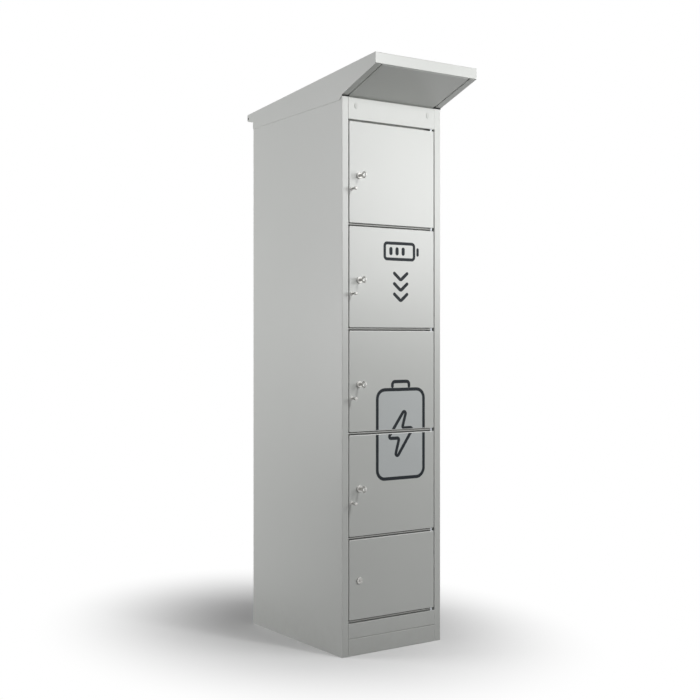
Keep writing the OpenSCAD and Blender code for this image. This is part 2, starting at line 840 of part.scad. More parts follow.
// Leads from the terminal block to the sockets, and from the breaker to the terminal block
lead_bend = 8;
lead_v = duct_v + 24;
lead_low = term_high + lead_bend + 4;
lead_step = 2 * lead_r + 2;
lane_in = housing_w / 2 + lead_bend + 1;
lanes = [[1, lane_in + lead_step, 0], [3, lane_in, 1], [4, -lane_in, 2], [2, -lane_in - lead_step, 3]];

// A quarter bend in the upright plane: it leaves (x0, z0) level towards side and ends upright
module lead_quarter(x, z, side, up) {
    translate([x, lead_v, z]) rotate([90, 0, 0]) flipped(side, up)
        rotate_extrude(angle = 90) translate([lead_bend, 0]) circle(r = lead_r, $fn = 20);
}

module flipped(side, up) {
    mirror([side < 0 ? 1 : 0, 0, 0]) mirror([0, up < 0 ? 1 : 0, 0]) children();
}

module lead_level(x0, x1, z) {
    translate([min(x0, x1), lead_v, z]) rotate([0, 90, 0]) cylinder(h = abs(x1 - x0), r = lead_r, $fn = 20);
}

module lead_plumb(x, z0, z1) {
    translate([x, lead_v, min(z0, z1)]) cylinder(h = abs(z1 - z0), r = lead_r, $fn = 20);
}

module socket_lead(n, lane, turn) {
    side = sign(lane);
    x = socket_x + lane;
    run_z = lead_low + turn * lead_step;
    end_x = term_x0 + term_pitch * (8.5 - 2 * turn);
    lead_level(socket_x + side * housing_w / 2, x - side * lead_bend, socket_z(n));
    lead_quarter(x - side * lead_bend, socket_z(n) - lead_bend, side, 1);
    lead_plumb(x, socket_z(n) - lead_bend, run_z + lead_bend);
    lead_quarter(x - lead_bend, run_z + lead_bend, 1, -1);
    lead_level(x - lead_bend, end_x + lead_bend, run_z);
    lead_quarter(end_x + lead_bend, run_z - lead_bend, -1, 1);
    lead_plumb(end_x, run_z - lead_bend, term_high);
}

module power_leads() {
    low_z = rail_z - breaker_h / 2 - lead_bend - 2 * lead_r - 3;
    term_low = rail_z - term_h / 2;
    color([0.15, 0.15, 0.16]) at_front() {
        for (lane = lanes)
            socket_lead(lane[0], lane[1], lane[2]);
        for (side = [-1, 1]) {
            x0 = pole_x(side);
            x1 = term_x0 + term_pitch * (3.5 - side);
            z = low_z + side * lead_step / 2;
            lead_plumb(x0, rail_z - breaker_h / 2, z + lead_bend);
            lead_quarter(x0 + lead_bend, z + lead_bend, -1, -1);
            lead_level(x0 + lead_bend, x1 - lead_bend, z);
            lead_quarter(x1 - lead_bend, z + lead_bend, 1, -1);
            lead_plumb(x1, z + lead_bend, term_low);
        }
    }
}

// Cable gland in the back panel: body with hexagon, dome nut and lock nut, and the seal ring
gland_hex_t = 6;
gland_neck_r = 8.6;
gland_neck = 10;
gland_bore = 7.2;

module gland_body() {
    color(grey_plastic) at_front() difference() {
        union() {
            rod_v(gland_x, gland_z, gland_r, back_in - 9, back_v + 1);
            hex_v(gland_x, gland_z, gland_hex, back_v, back_v + gland_hex_t);
            rod_v(gland_x, gland_z, gland_neck_r,
                back_v + gland_hex_t - cut, back_v + gland_hex_t + gland_neck);
        }
        rod_v(gland_x, gland_z, gland_bore, back_in - 9 - cut, back_v + gland_hex_t + gland_neck + cut);
    }
}

module gland_nuts() {
    dome0 = back_v + gland_hex_t + 0.3;
    dome1 = back_v + gland_hex_t + gland_neck + 3;
    flats = 22;
    color(grey_plastic) at_front() {
        difference() {
            hex_v(gland_x, gland_z, gland_hex, back_in - 5.2, back_in - seat);
            rod_v(gland_x, gland_z, gland_r + hair, back_in - 7, back_in + cut);
        }
        translate([gland_x, 0, gland_z]) difference() {
            union() {
                hex_v(0, 0, flats, dome0, dome1 - 5);
                rotate([-90, 0, 0]) translate([0, 0, dome1 - 5 - hair])
                    cylinder(h = 5, r1 = flats / 2 - 0.4, r2 = flats / 2 - 3);
            }
            rod_v(0, 0, gland_neck_r + hair, dome0 - cut, dome1 - 2.5);
            rod_v(0, 0, cable_r + 0.8, dome0, dome1 + cut);
        }
    }
}

module gland_seal() {
    color(black_rubber) at_front() difference() {
        rod_v(gland_x, gland_z, gland_bore - hair, back_v - 2, back_v + gland_hex_t + gland_neck + 0.3);
        rod_v(gland_x, gland_z, cable_r, back_v - 2 - cut, back_v + gland_hex_t + gland_neck + cut);
    }
}

// Doors: a pan folded on all four sides, with a hat section and plates at the hinge holes
module door(n) {
    w = door_w;
    h = door_tall(n);
    from_end = door_lip + 4;
    hat_x = w / 2 + 10;
    rim = [[door_t, h - door_lip], [door_t, h], [0, h], [0, h - 2 * fold_out]];
    plate_x = w - hinge_in - 14;
    difference() {
        union() {
            upright(strip([
                [door_lip, door_t], [0, door_t], [0, 0], [w, 0], [w, door_t], [w - door_lip, door_t]
            ]), fold_out, h - fold_out);
            across(strip(rim), fold_out, w - fold_out);
            translate([0, 0, h]) mirror([0, 0, 1]) across(strip(rim), fold_out, w - fold_out);
            upright(strip([
                [hat_x - hat_w / 2 - 10, sheet], [hat_x - hat_w / 2, sheet],
                [hat_x - hat_w / 2, sheet + hat_d],
                [hat_x + hat_w / 2, sheet + hat_d],
                [hat_x + hat_w / 2, sheet], [hat_x + hat_w / 2 + 10, sheet]
            ]), from_end, h - from_end);
            for (z = [sheet - hair, h - sheet - hinge_plate])
                block([plate_x, sheet - hair, z], [w - sheet + hair, door_t - sheet, z + hinge_plate + hair]);
        }
        translate([w - hinge_in, hinge_back, -cut])
            cylinder(h = 2 * cut + sheet + hinge_plate, r = pin_r + pin_fit);
        translate([w - hinge_in, hinge_back, h - sheet - hinge_plate - cut])
            cylinder(h = 2 * cut + sheet + hinge_plate, r = pin_r + pin_fit);
        rod_v(lock_in, lock_z(n) - door_low(n), case_dia / 2 + seat, -cut, sheet + cut);
        if (n < 5)
            rod_v(knob_in, lock_z(n) - knob_drop - door_low(n), knob_stud + seat, -cut, sheet + cut);
    }
}
module at_door(n) {
    at_front() translate([door_x, 0, door_low(n)]) children();
}
module door_1() { color(door_grey) at_door(1) door(1); }
module door_2() { color(door_grey) at_door(2) door(2); }
module door_3() { color(door_grey) at_door(3) door(3); }
module door_4() { color(door_grey) at_door(4) door(4); }
module door_5() { color(door_grey) at_door(5) door(5); }

// Pull knobs: turned, with a stud through the door and its nut
knob_stud = 2.5;

module pull_knob(n) {
    foot_r = knob_dia / 2 + 0.5;
    neck_r = 3.2;
    head_r = knob_dia / 2;
    round_r = 2.5;
    head_t = 11;
    nut_h = 4;
    color(nickel) at_front() translate([door_x + knob_in, 0, lock_z(n) - knob_drop]) {
        rotate([90, 0, 0]) rotate_extrude() polygon(concat(
            [[0, 0], [foot_r, 0], [foot_r, 1.2], [foot_r - 1, 2.2], [neck_r, 2.6],
                [neck_r, knob_h - head_t], [head_r - 1, knob_h - head_t + 1.5]],
            [for (a = [0:22.5:90]) [head_r - round_r + round_r * cos(a),
                knob_h - round_r + round_r * sin(a)]],
            [[0, knob_h]]));
        rod_v(0, 0, knob_stud, -cut, sheet + nut_h + 1);
        difference() {
            hex_v(0, 0, 8, sheet, sheet + nut_h);
            rod_v(0, 0, knob_stud + hair, 0, sheet + nut_h + cut);
        }
    }
}
module pull_knob_1() { pull_knob(1); }
module pull_knob_2() { pull_knob(2); }
module pull_knob_3() { pull_knob(3); }
module pull_knob_4() { pull_knob(4); }

// Cam locks: case with collar and nut, barrel with keyway and square tail, cam and its screw
head_dia = barrel_dia + 2;
head_t = 2;
face_in = 0.3;
barrel_front = face_in - collar_h;
keyway_gap = 0.15;
screw_r = 2;
screw_len = 5;
tail_end = cam_v + cam_t - 0.1;

module at_lock(n) {
    at_front() translate([lock_x, 0, lock_z(n)]) children();
}

module lock_case(n) {
    collar_r = collar_dia / 2;
    edge = 1;
    color(nickel) at_lock(n) {
        difference() {
            union() {
                rotate([90, 0, 0]) rotate_extrude() polygon([
                    [0, 0], [collar_r, 0], [collar_r, collar_h - edge],
                    [collar_r - 0.3 * edge, collar_h - 0.3 * edge],
                    [collar_r - edge, collar_h], [0, collar_h]
                ]);
                rod_v(0, 0, case_dia / 2, -hair, case_end);
            }
            rod_v(0, 0, barrel_dia / 2 + barrel_fit, -collar_h - cut, case_end + cut);
            rod_v(0, 0, head_dia / 2 + barrel_fit, -collar_h - cut, barrel_front + head_t + 0.1);
        }
        difference() {
            hex_v(0, 0, nut_flats, sheet, sheet + nut_t);
            rod_v(0, 0, case_dia / 2 + hair, 0, sheet + nut_t + cut);
        }
    }
}
module lock_case_1() { lock_case(1); }
module lock_case_2() { lock_case(2); }
module lock_case_3() { lock_case(3); }
module lock_case_4() { lock_case(4); }
module lock_case_5() { lock_case(5); }

module lock_barrel(n) {
    color(nickel) at_lock(n) difference() {
        union() {
            rod_v(0, 0, head_dia / 2, barrel_front, barrel_front + head_t);
            rod_v(0, 0, barrel_dia / 2, barrel_front + head_t - hair, case_end + 0.2);
            block([-tail_w / 2, case_end, -tail_w / 2], [tail_w / 2, tail_end, tail_w / 2]);
        }
        block([-key_t / 2 - keyway_gap, barrel_front - cut, -key_h / 2 - keyway_gap],
            [key_t / 2 + keyway_gap, barrel_front + key_len + 0.4, key_h / 2 + keyway_gap]);
        rod_v(0, 0, screw_r + hair, tail_end - screw_len, tail_end + cut);
    }
}
module lock_barrel_1() { lock_barrel(1); }
module lock_barrel_2() { lock_barrel(2); }
module lock_barrel_3() { lock_barrel(3); }
module lock_barrel_4() { lock_barrel(4); }
module lock_barrel_5() { lock_barrel(5); }

module lock_cam(n) {
    tip_r = cam_w / 2 - 2;
    play = 0.1;
    color(zinc) at_lock(n) {
        difference() {
            union() {
                rod_v(0, 0, cam_w / 2, cam_v, cam_v + cam_t);
                rod_v(0, tip_r - cam_len, tip_r, cam_v, cam_v + cam_t);
                translate([0, cam_v + cam_t, 0]) rotate([90, 0, 0]) linear_extrude(cam_t)
                    polygon([[-cam_w / 2, 0], [cam_w / 2, 0],
                        [tip_r, tip_r - cam_len], [-tip_r, tip_r - cam_len]]);
            }
            block([-tail_w / 2 - play, cam_v - cut, -tail_w / 2 - play],
                [tail_w / 2 + play, cam_v + cam_t + cut, tail_w / 2 + play]);
        }
        rod_v(0, 0, 5.5, cam_v + cam_t, cam_v + cam_t + 2.4);
        rod_v(0, 0, screw_r, tail_end - screw_len + 0.3, cam_v + cam_t + hair);
    }
}
module lock_cam_1() { lock_cam(1); }
module lock_cam_2() { lock_cam(2); }
module lock_cam_3() { lock_cam(3); }
module lock_cam_4() { lock_cam(4); }
module lock_cam_5() { lock_cam(5); }

// Keys: blade with its cuts, neck, and a round bow with a large hole
bow_out = 27;
bow_hole = 6.2;
neck_h = 8.5;
cut_pitch = 2.8;

function cut_depth(i) = 0.9 + 0.7 * ((i * 3) % 4) / 3;

module key(n) {
    tip = barrel_front + key_len;
    low = -key_h / 2;
    high = key_h / 2;
    neck_v = barrel_front - 0.3;
    cuts = floor((key_len - 6) / cut_pitch);
    color(nickel) at_lock(n) translate([-key_t / 2, 0, 0]) difference() {
        union() {
            rotate([90, 0, 90]) linear_extrude(key_t) polygon(concat(
                [[neck_v, high], [neck_v, low]],
                [for (i = [0:cuts - 1])
                    for (p = [[0, 0], [0.7, cut_depth(i)], [1.5, cut_depth(i)], [2.2, 0]])
                        [barrel_front + 3 + i * cut_pitch + p[0], low + p[1]]],
                [[tip - 1.6, low], [tip, -0.6], [tip, 0.6], [tip - 2, high]]));
            block([0, -bow_out, -neck_h / 2], [key_t, neck_v, neck_h / 2]);
            translate([0, -bow_out, 0]) rotate([0, 90, 0]) cylinder(h = key_t, r = bow_dia / 2);
        }
        translate([-cut, -bow_out - 1, 0]) rotate([0, 90, 0]) cylinder(h = key_t + 2 * cut, r = bow_hole);
        block([-cut, barrel_front - 1, 1.2], [0.5, tip + cut, 2]);
    }
}
module key_1() { key(1); }
module key_2() { key(2); }
module key_3() { key(3); }
module key_4() { key(4); }

left_side_panel();
right_side_panel();
back_panel();
top_panel();
floor_panel();
shelf_1();
shelf_2();
shelf_3();
shelf_4();
header_panel();
bottom_rail();
plinth_strip();
hinge_knuckles();
hinge_pins();
door_buffers();
header_plugs();
roof_sheet();
soffit_panel();
roof_brackets();
roof_bolts();
wiring_duct();
socket_outlets();
socket_contacts();
power_leads();
din_rail();
breaker();
breaker_lever();
breaker_test_button();
terminal_block();
gland_body();
gland_nuts();
gland_seal();
door_1();
door_2();
door_3();
door_4();
door_5();
pull_knob_1();
pull_knob_2();
pull_knob_3();
pull_knob_4();
lock_case_1();
lock_case_2();
lock_case_3();
lock_case_4();
lock_case_5();
lock_barrel_1();
lock_barrel_2();
lock_barrel_3();
lock_barrel_4();
lock_barrel_5();
lock_cam_1();
lock_cam_2();
lock_cam_3();
lock_cam_4();
lock_cam_5();
key_1();
key_2();
key_3();
key_4();
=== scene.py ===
"""Looks of an outdoor locker that keeps and charges four e-bike batteries.

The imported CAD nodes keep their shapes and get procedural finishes. New pieces are the line
graphic on the doors, small fasteners and the end plates of the roof's drip fold. All lengths are
in metres, in the CAD's frame: x runs across, y runs from the doors to the back, z runs up.
"""

import logging
import math
from dataclasses import dataclass, field
from enum import Enum
from typing import Callable, Iterable, Sequence

import bmesh
import bpy
from mathutils import Matrix, Vector

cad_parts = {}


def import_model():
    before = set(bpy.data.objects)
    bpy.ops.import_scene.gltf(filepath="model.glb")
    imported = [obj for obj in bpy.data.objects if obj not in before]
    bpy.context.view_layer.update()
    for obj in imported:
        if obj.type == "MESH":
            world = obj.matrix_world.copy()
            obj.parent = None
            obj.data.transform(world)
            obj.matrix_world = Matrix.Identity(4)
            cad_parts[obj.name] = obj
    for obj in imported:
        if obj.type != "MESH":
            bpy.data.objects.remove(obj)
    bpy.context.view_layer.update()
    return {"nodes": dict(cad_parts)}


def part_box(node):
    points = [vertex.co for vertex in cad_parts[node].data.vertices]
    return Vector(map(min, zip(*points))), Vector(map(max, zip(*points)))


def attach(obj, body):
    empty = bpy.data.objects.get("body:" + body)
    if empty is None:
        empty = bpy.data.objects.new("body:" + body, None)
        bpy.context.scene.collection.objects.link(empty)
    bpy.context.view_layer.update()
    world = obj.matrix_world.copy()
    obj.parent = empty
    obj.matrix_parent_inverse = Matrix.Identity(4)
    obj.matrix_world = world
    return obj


MM = 0.001
Colour = tuple[float, float, float]
Place = tuple[float, float, float]
Point = tuple[float, float]
Range = tuple[float, float]
Socket = bpy.types.NodeSocket
log = logging.getLogger("locker")


class Axis(Enum):
    """Directions in the CAD's frame."""

    X = (1.0, 0.0, 0.0)
    Y = (0.0, 1.0, 0.0)
    Z = (0.0, 0.0, 1.0)

    @property
    def vector(self) -> Vector:
        """The direction as a vector."""
        return Vector(self.value)


class Slot(Enum):
    """Material slots of the record that finishes stand for."""

    BODY_COAT = "grey_powder_coat"
    DOOR_COAT = "door_powder_coat"
    ZINC = "zinc_plate"
    NICKEL = "nickel_plate"
    BRASS = "contact_brass"
    RUBBER = "black_rubber"
    SHEATH = "black_sheath"
    GREY_PLASTIC = "grey_plastic"
    PALE_PLASTIC = "pale_plastic"
    WHITE_PLASTIC = "white_plastic"
    BLACK_PLASTIC = "black_plastic"
    YELLOW_PLASTIC = "yellow_plastic"


class Waves(Enum):
    """Noises of the effects: waves per metre and octaves."""

    CLOUD = (3.1, 3.0)
    GRAIN = (1300.0, 2.0)
    PEEL = (260.0, 2.0)
    RUBBED = (420.0, 3.0)
    DUST = (34.0, 5.0)
    # Patches of the painted shade on shelf noses in the gaps between doors.
    GRIME = (60.0, 4.0)


class Step(Enum):
    """Ranges of a value over which a smooth step goes from its start to its end."""

    EDGE_COSINE = (0.995, 0.86)
    RUBBED_NOISE = (0.3, 0.62)
    FOLD_SLOPE = (0.03, 0.22)
    LYING_NORMAL = (0.75, 0.99)
    SPLASH_HEIGHT = (0.16, 0.0)
    DUST_NOISE = (0.36, 0.7)
    # Depth behind the door faces where shelf noses get painted shade, and how patchy that shade is.
    NOSE_DEPTH = (-0.186, -0.190)
    GRIME_NOISE = (0.25, 0.55)


# Node trees


class Graph:
    """A node tree with short calls for the nodes that the finishes use."""

    def __init__(self, tree: bpy.types.NodeTree) -> None:
        """Keeps the tree.

        Args:
            tree: The node tree that nodes are added to.
        """
        self.tree = tree

    def fill(self, node: bpy.types.Node, inputs: dict) -> None:
        """Sets a node's inputs.

        Args:
            node: The node.
            inputs: Values for its input sockets, or output sockets that are linked to them.
        """
        for key, value in inputs.items():
            if isinstance(value, Socket):
                self.tree.links.new(value, node.inputs[key])
            else:
                node.inputs[key].default_value = value

    def add(self, kind: str, inputs: dict | None = None, **settings: object) -> bpy.types.Node:
        """Adds a node.

        Args:
            kind: The node's type without its "ShaderNode" start.
            inputs: Values for its input sockets, or output sockets that are linked to them.
            settings: Properties of the node.

        Returns:
            The node.
        """
        made = self.tree.nodes.new(f"ShaderNode{kind}")
        for name, value in settings.items():
            setattr(made, name, value)
        self.fill(made, inputs or {})
        return made

    def math(self, operation: str, a: object, b: object) -> Socket:
        """A Math node's result.

        Args:
            operation: The node's operation.
            a: First value or socket.
            b: Second value or socket.

        Returns:
            The output socket.
        """
        return self.add("Math", {0: a, 1: b}, operation=operation).outputs[0]

    def times(self, a: object, b: object) -> Socket:
        """The product of two values or sockets."""
        return self.math("MULTIPLY", a, b)

    def swing(self, noise: Socket, width: object) -> Socket:
        """A noise value as a swing about zero, with its full width as a value or socket."""
        return self.times(self.math("SUBTRACT", noise, 0.5), width)

    def noise(self, vector: Socket, waves: Waves) -> Socket:
        """A noise value from 0 to 1.

        Args:
            vector: Where the noise is read.
            waves: Its waves.

        Returns:
            The output socket.
        """
        octave_share = 0.55
        scale, detail = waves.value
        inputs = {"Vector": vector, "Scale": scale, "Detail": detail, "Roughness": octave_share}
        return self.add("TexNoise", inputs).outputs["Fac"]

    def span(self, value: Socket, limits: Range, results: Range = (0.0, 1.0)) -> Socket:
        """A smooth step of a value.

        Args:
            value: The value.
            limits: Where the step starts and where it ends.
            results: The result at its start and at its end.

        Returns:
            The output socket.
        """
        inputs = {"Value": value, "From Min": limits[0], "From Max": limits[1],
                  "To Min": results[0], "To Max": results[1]}
        return self.add("MapRange", inputs, interpolation_type="SMOOTHSTEP").outputs["Result"]

    def mix(self, factor: object, a: object, b: object) -> Socket:
        """A mix of two colours.

        Args:
            factor: Share of the second colour.
            a: First colour or socket.
            b: Second colour or socket.

        Returns:
            The output socket.
        """
        return self.add("Mix", {0: factor, 6: a, 7: b}, data_type="RGBA").outputs[2]


def rgba(colour: Colour) -> tuple[float, float, float, float]:
    """A colour with full alpha."""
    return (*colour, 1.0)


@dataclass(frozen=True)
class Effect:
    """An effect that several finishes share: a shader node group with named sockets.

    Attributes:
        name: The group's name.
        inputs: Input sockets by name, with their kind.
        outputs: Output sockets by name, with their kind.
        build: Fills the group from its input sockets and returns its outputs by name.
    """

    name: str
    inputs: dict[str, str]
    outputs: dict[str, str]
    build: Callable[[Graph, dict], dict]

    def group(self) -> bpy.types.NodeTree:
        """The node group, which is built at its first use."""
        found = bpy.data.node_groups.get(self.name)
        if found:
            return found
        tree = bpy.data.node_groups.new(self.name, "ShaderNodeTree")
        for way, sockets in (("INPUT", self.inputs), ("OUTPUT", self.outputs)):
            for name, kind in sockets.items():
                tree.interface.new_socket(name, in_out=way, socket_type=f"NodeSocket{kind}")
        start, end = tree.nodes.new("NodeGroupInput"), tree.nodes.new("NodeGroupOutput")
        graph = Graph(tree)
        graph.fill(end, self.build(graph, {name: start.outputs[name] for name in self.inputs}))
        return tree

    def place(self, graph: Graph, inputs: dict) -> dict[str, Socket]:
        """Puts the group into a material.

        Args:
            graph: The material's graph.
            inputs: Values or sockets for its inputs.

        Returns:
            Its output sockets by name.
        """
        node = graph.add("Group", inputs, node_tree=self.group())
        return {name: node.outputs[name] for name in self.outputs}


def build_tint(graph: Graph, sockets: dict) -> dict:
    """Broad, faint cloudiness of a colour, as between batches and sheets."""
    shade = graph.swing(graph.noise(sockets["Vector"], Waves.CLOUD), sockets["Amount"])
    inputs = {0: sockets["Colour"], "Scale": graph.math("ADD", shade, 1.0)}
    return {"Colour": graph.add("VectorMath", inputs, operation="SCALE").outputs[0]}


def build_grain(graph: Graph, sockets: dict) -> dict:
    """Fine grain and slower waves, as cured powder or moulded plastic has them."""
    fine_share, peel_share, sheen = 0.4, 0.6, 0.12
    fine = graph.noise(sockets["Vector"], Waves.GRAIN)
    peel = graph.noise(sockets["Vector"], Waves.PEEL)
    height = graph.math("ADD", graph.times(fine, fine_share), graph.times(peel, peel_share))
    roughness = graph.math("ADD", graph.swing(peel, sheen), sockets["Roughness"])
    return {"Height": height, "Roughness": roughness}


def build_rub(graph: Graph, sockets: dict) -> dict:
    """A mask along outer edges, where handling rubs a surface; the dull nickel uses it as well for a
    painted highlight on rims.
    """
    rounded = graph.add("Bevel", {"Radius": sockets["Radius"]}, samples=4).outputs[0]
    plain = graph.add("NewGeometry").outputs["Normal"]
    along = graph.add("VectorMath", {0: rounded, 1: plain}, operation="DOT_PRODUCT")
    edge = graph.span(along.outputs["Value"], Step.EDGE_COSINE.value)
    broken = graph.span(graph.noise(sockets["Vector"], Waves.RUBBED), Step.RUBBED_NOISE.value)
    return {"Mask": graph.times(edge, broken)}


def build_fold_highlight(graph: Graph, sockets: dict) -> dict:
    """A mask of painted highlight on rounded folds, which the lamps leave darker than the faces
    beside them: upright ones, and level ones as far as Level says.
    """
    normal = graph.add("SeparateXYZ", {0: sockets["Normal"]}).outputs
    upright = graph.math("ABSOLUTE", graph.times(normal["X"], normal["Y"]), 0.0)
    level = graph.math("ABSOLUTE", graph.times(normal["Y"], normal["Z"]), 0.0)
    either = graph.math("MAXIMUM", upright, graph.times(level, sockets["Level"]))
    return {"Mask": graph.span(either, Step.FOLD_SLOPE.value)}


def build_dust(graph: Graph, sockets: dict) -> dict:
    """A mask of dust on faces that look up, and of splashes just above the ground."""
    normal = graph.add("SeparateXYZ", {0: graph.add("NewGeometry").outputs["Normal"]})
    lying = graph.span(normal.outputs["Z"], Step.LYING_NORMAL.value)
    height = graph.add("SeparateXYZ", {0: sockets["Vector"]}).outputs["Z"]
    splash = graph.span(height, Step.SPLASH_HEIGHT.value)
    patchy = graph.span(graph.noise(sockets["Vector"], Waves.DUST), Step.DUST_NOISE.value)
    return {"Mask": graph.times(graph.math("MAXIMUM", lying, splash), patchy)}


def build_brush(graph: Graph, sockets: dict) -> dict:
    """Fine scratches along one direction, with a roughness that follows them."""
    across, along, octaves, sheen = 1800.0, 90.0, 3.0, 0.22
    stretch = graph.add("Mapping", {"Vector": sockets["Vector"], "Scale": (across, along, across)})
    waves = {"Vector": stretch.outputs[0], "Scale": 1.0, "Detail": octaves}
    lines = graph.add("TexNoise", waves).outputs["Fac"]
    roughness = graph.math("ADD", graph.swing(lines, sheen), sockets["Roughness"])
    return {"Height": lines, "Roughness": roughness}


TINT = Effect("faint_tint", {"Vector": "Vector", "Colour": "Color", "Amount": "Float"},
              {"Colour": "Color"}, build_tint)
GRAIN = Effect("cured_grain", {"Vector": "Vector", "Roughness": "Float"},
               {"Height": "Float", "Roughness": "Float"}, build_grain)
RUB = Effect("edge_rub", {"Vector": "Vector", "Radius": "Float"}, {"Mask": "Float"}, build_rub)
# Mask of the painted highlight along folds.
FOLD_HIGHLIGHT = Effect("painted_fold_highlight", {"Normal": "Vector", "Level": "Float"}, {"Mask": "Float"}, build_fold_highlight)
DUST = Effect("dust_film", {"Vector": "Vector"}, {"Mask": "Float"}, build_dust)
BRUSH = Effect("brush_lines", {"Vector": "Vector", "Roughness": "Float"},
               {"Height": "Float", "Roughness": "Float"}, build_brush)


# Finishes


@dataclass(frozen=True)
class Finish:
    """A surface finish that makes one material.

    Attributes:
        name: The material's name.
        colour: Linear base colour.
        roughness: Mean roughness.
        bump: Height of the grain in millimetres.
        slot: The record's slot that it stands for.
        cloud: Strength of the colour's cloudiness.
        grain: The effect that gives its height and its roughness.
        edge: Linear colour of rubbed edges, which on powder coat and dull nickel also serves as a
            painted highlight.
        rubbed: Radius in millimetres that rubbing reaches from an edge.
        rubbing: Share of the edge's colour that rubbing brings.
    """

    name: str
    colour: Colour
    roughness: float
    bump: float
    slot: Slot
    cloud: float = 0.10
    grain: Effect = GRAIN
    edge: Colour = (0.86, 0.85, 0.83)
    rubbed: float = 0.5
    rubbing: float = 1.0

    @property
    def wear_and_highlight_colour(self) -> Colour:
        """Linear colour of rubbed edges and of painted highlights on folds and rims."""
        return self.edge

    def material(self) -> bpy.types.Material:
        """The material, which is built at its first use."""
        found = bpy.data.materials.get(self.name)
        if found:
            return found
        made = bpy.data.materials.new(self.name)
        made.use_nodes = True
        graph = Graph(made.node_tree)
        place = graph.add("TexCoord").outputs["Object"]
        cloudy = {"Vector": place, "Colour": rgba(self.colour), "Amount": self.cloud}
        colour = TINT.place(graph, cloudy)["Colour"]
        # Rubbed edges in a paler colour; on powder coat and dull nickel this is partly a painted
        # highlight.
        if self.rubbing:
            colour = graph.mix(self.wear_and_highlight(graph, place), colour, rgba(self.wear_and_highlight_colour))
        grain = self.grain.place(graph, {"Vector": place, "Roughness": self.roughness})
        bump = {"Height": grain["Height"], "Strength": 1.0, "Distance": self.bump * MM}
        looks = {"Base Color": colour, "Roughness": grain["Roughness"],
                 "Normal": graph.add("Bump", bump).outputs[0]}
        graph.fill(made.node_tree.nodes["Principled BSDF"], looks | self.dress(graph, place, looks))
        return made

    def wear_and_highlight(self, graph: Graph, place: Socket) -> Socket:
        """The mask of rubbed edges, which on the dull nickel also places a painted highlight on rims.

        Args:
            graph: The material's graph.
            place: Object coordinates.

        Returns:
            The output socket.
        """
        rub = RUB.place(graph, {"Vector": place, "Radius": self.rubbed * MM})["Mask"]
        return graph.times(rub, self.rubbing)

    def dress(self, graph: Graph, place: Socket, looks: dict) -> dict:
        """The shader's inputs that this kind of finish has of its own.

        Args:
            graph: The material's graph.
            place: Object coordinates.
            looks: The inputs that every finish has, by socket.

        Returns:
            Values or sockets for the shader's inputs.
        """
        raise NotImplementedError


@dataclass(frozen=True)
class PowderCoat(Finish):
    """Cured powder on sheet steel, with a painted highlight along its folds, dust where it settles
    and, where asked, painted shade on a shelf's nose in a gap between two doors.

    Attributes:
        dust: Colour of the dust.
        dusty: Share of dust at its thickest.
        gloss: Specular level of the cured film.
        level: Share of the painted highlight on level folds, where no face slopes.
        grime: Colour of the painted shade on a nose in a gap between two doors, where the doors shade
            it.
        gap_shade_share: Share of that painted shade there.
        gap_shade_patches: The painted shade's strength at its thinnest and at its thickest.
    """

    cloud: float = 0.05
    # Paler than the coat: rubbed edges, and the painted highlight along folds.
    edge: Colour = (0.80, 0.81, 0.79)
    rubbed: float = 1.4
    rubbing: float = 0.35
    dust: Colour = (0.42, 0.40, 0.36)
    dusty: float = 0.10
    gloss: float = 0.85
    level: float = 0.0
    # Colour, share and patchiness of the painted shade on a shelf's nose, where the door above shades
    # the gap.
    grime: Colour = (0.21, 0.21, 0.195)
    gap_shade_share: float = 0.0
    gap_shade_patches: Range = (0.8, 1.0)

    def wear_and_highlight(self, graph: Graph, place: Socket) -> Socket:
        """The mask of rubbed edges, and of folds that get a painted highlight."""
        normal = graph.add("TexCoord").outputs["Normal"]
        fold = FOLD_HIGHLIGHT.place(graph, {"Normal": normal, "Level": self.level})["Mask"]
        return graph.math("MAXIMUM", super().wear_and_highlight(graph, place), fold)

    def dress(self, graph: Graph, place: Socket, looks: dict) -> dict:
        """The inputs of a powder coat."""
        dust = graph.times(DUST.place(graph, {"Vector": place})["Mask"], self.dusty)
        colour = graph.mix(dust, looks["Base Color"], rgba(self.dust))
        # Painted shade: a nose set back in the gap between two doors is darkened in patches, as the
        # doors shade it.
        if self.gap_shade_share:
            depth = graph.add("SeparateXYZ", {0: place}).outputs["Y"]
            nose = graph.span(depth, Step.NOSE_DEPTH.value, (0.0, self.gap_shade_share))
            patchy = graph.span(graph.noise(place, Waves.GRIME), Step.GRIME_NOISE.value, self.gap_shade_patches)
            colour = graph.mix(graph.times(nose, patchy), colour, rgba(self.grime))
        dull = graph.math("ADD", looks["Roughness"], dust)
        return {"Base Color": colour, "Roughness": dull, "Specular IOR Level": self.gloss}


@dataclass(frozen=True)
class Plated(Finish):
    """Bare or plated metal with brush lines."""

    cloud: float = 0.12
    grain: Effect = BRUSH

    def dress(self, graph: Graph, place: Socket, looks: dict) -> dict:
        """The inputs of a metal."""
        return {"Metallic": 1.0}


@dataclass(frozen=True)
class Moulded(Finish):
    """Moulded plastic or rubber with a fine grain and edges a little paler than its colour.

    Attributes:
        sheen: Sheen weight, for rubber.
    """

    rubbed: float = 0.6
    rubbing: float = 0.5
    sheen: float = 0.0

    @property
    def wear_and_highlight_colour(self) -> Colour:
        """A colour a little paler than the finish's own."""
        gain, lift = 1.35, 0.02
        return tuple(min(1.0, gain * c + lift) for c in self.colour)

    def dress(self, graph: Graph, place: Socket, looks: dict) -> dict:
        """The inputs of a plastic or rubber."""
        return {"Sheen Weight": self.sheen}


@dataclass(frozen=True)
class Film(Finish):
    """Cut film or print ink on a door.

    Attributes:
        gloss: Specular level of the film.
    """

    cloud: float = 0.14
    rubbing: float = 0.0
    gloss: float = 0.5

    def dress(self, graph: Graph, place: Socket, looks: dict) -> dict:
        """The inputs of a film."""
        return {"Specular IOR Level": self.gloss}


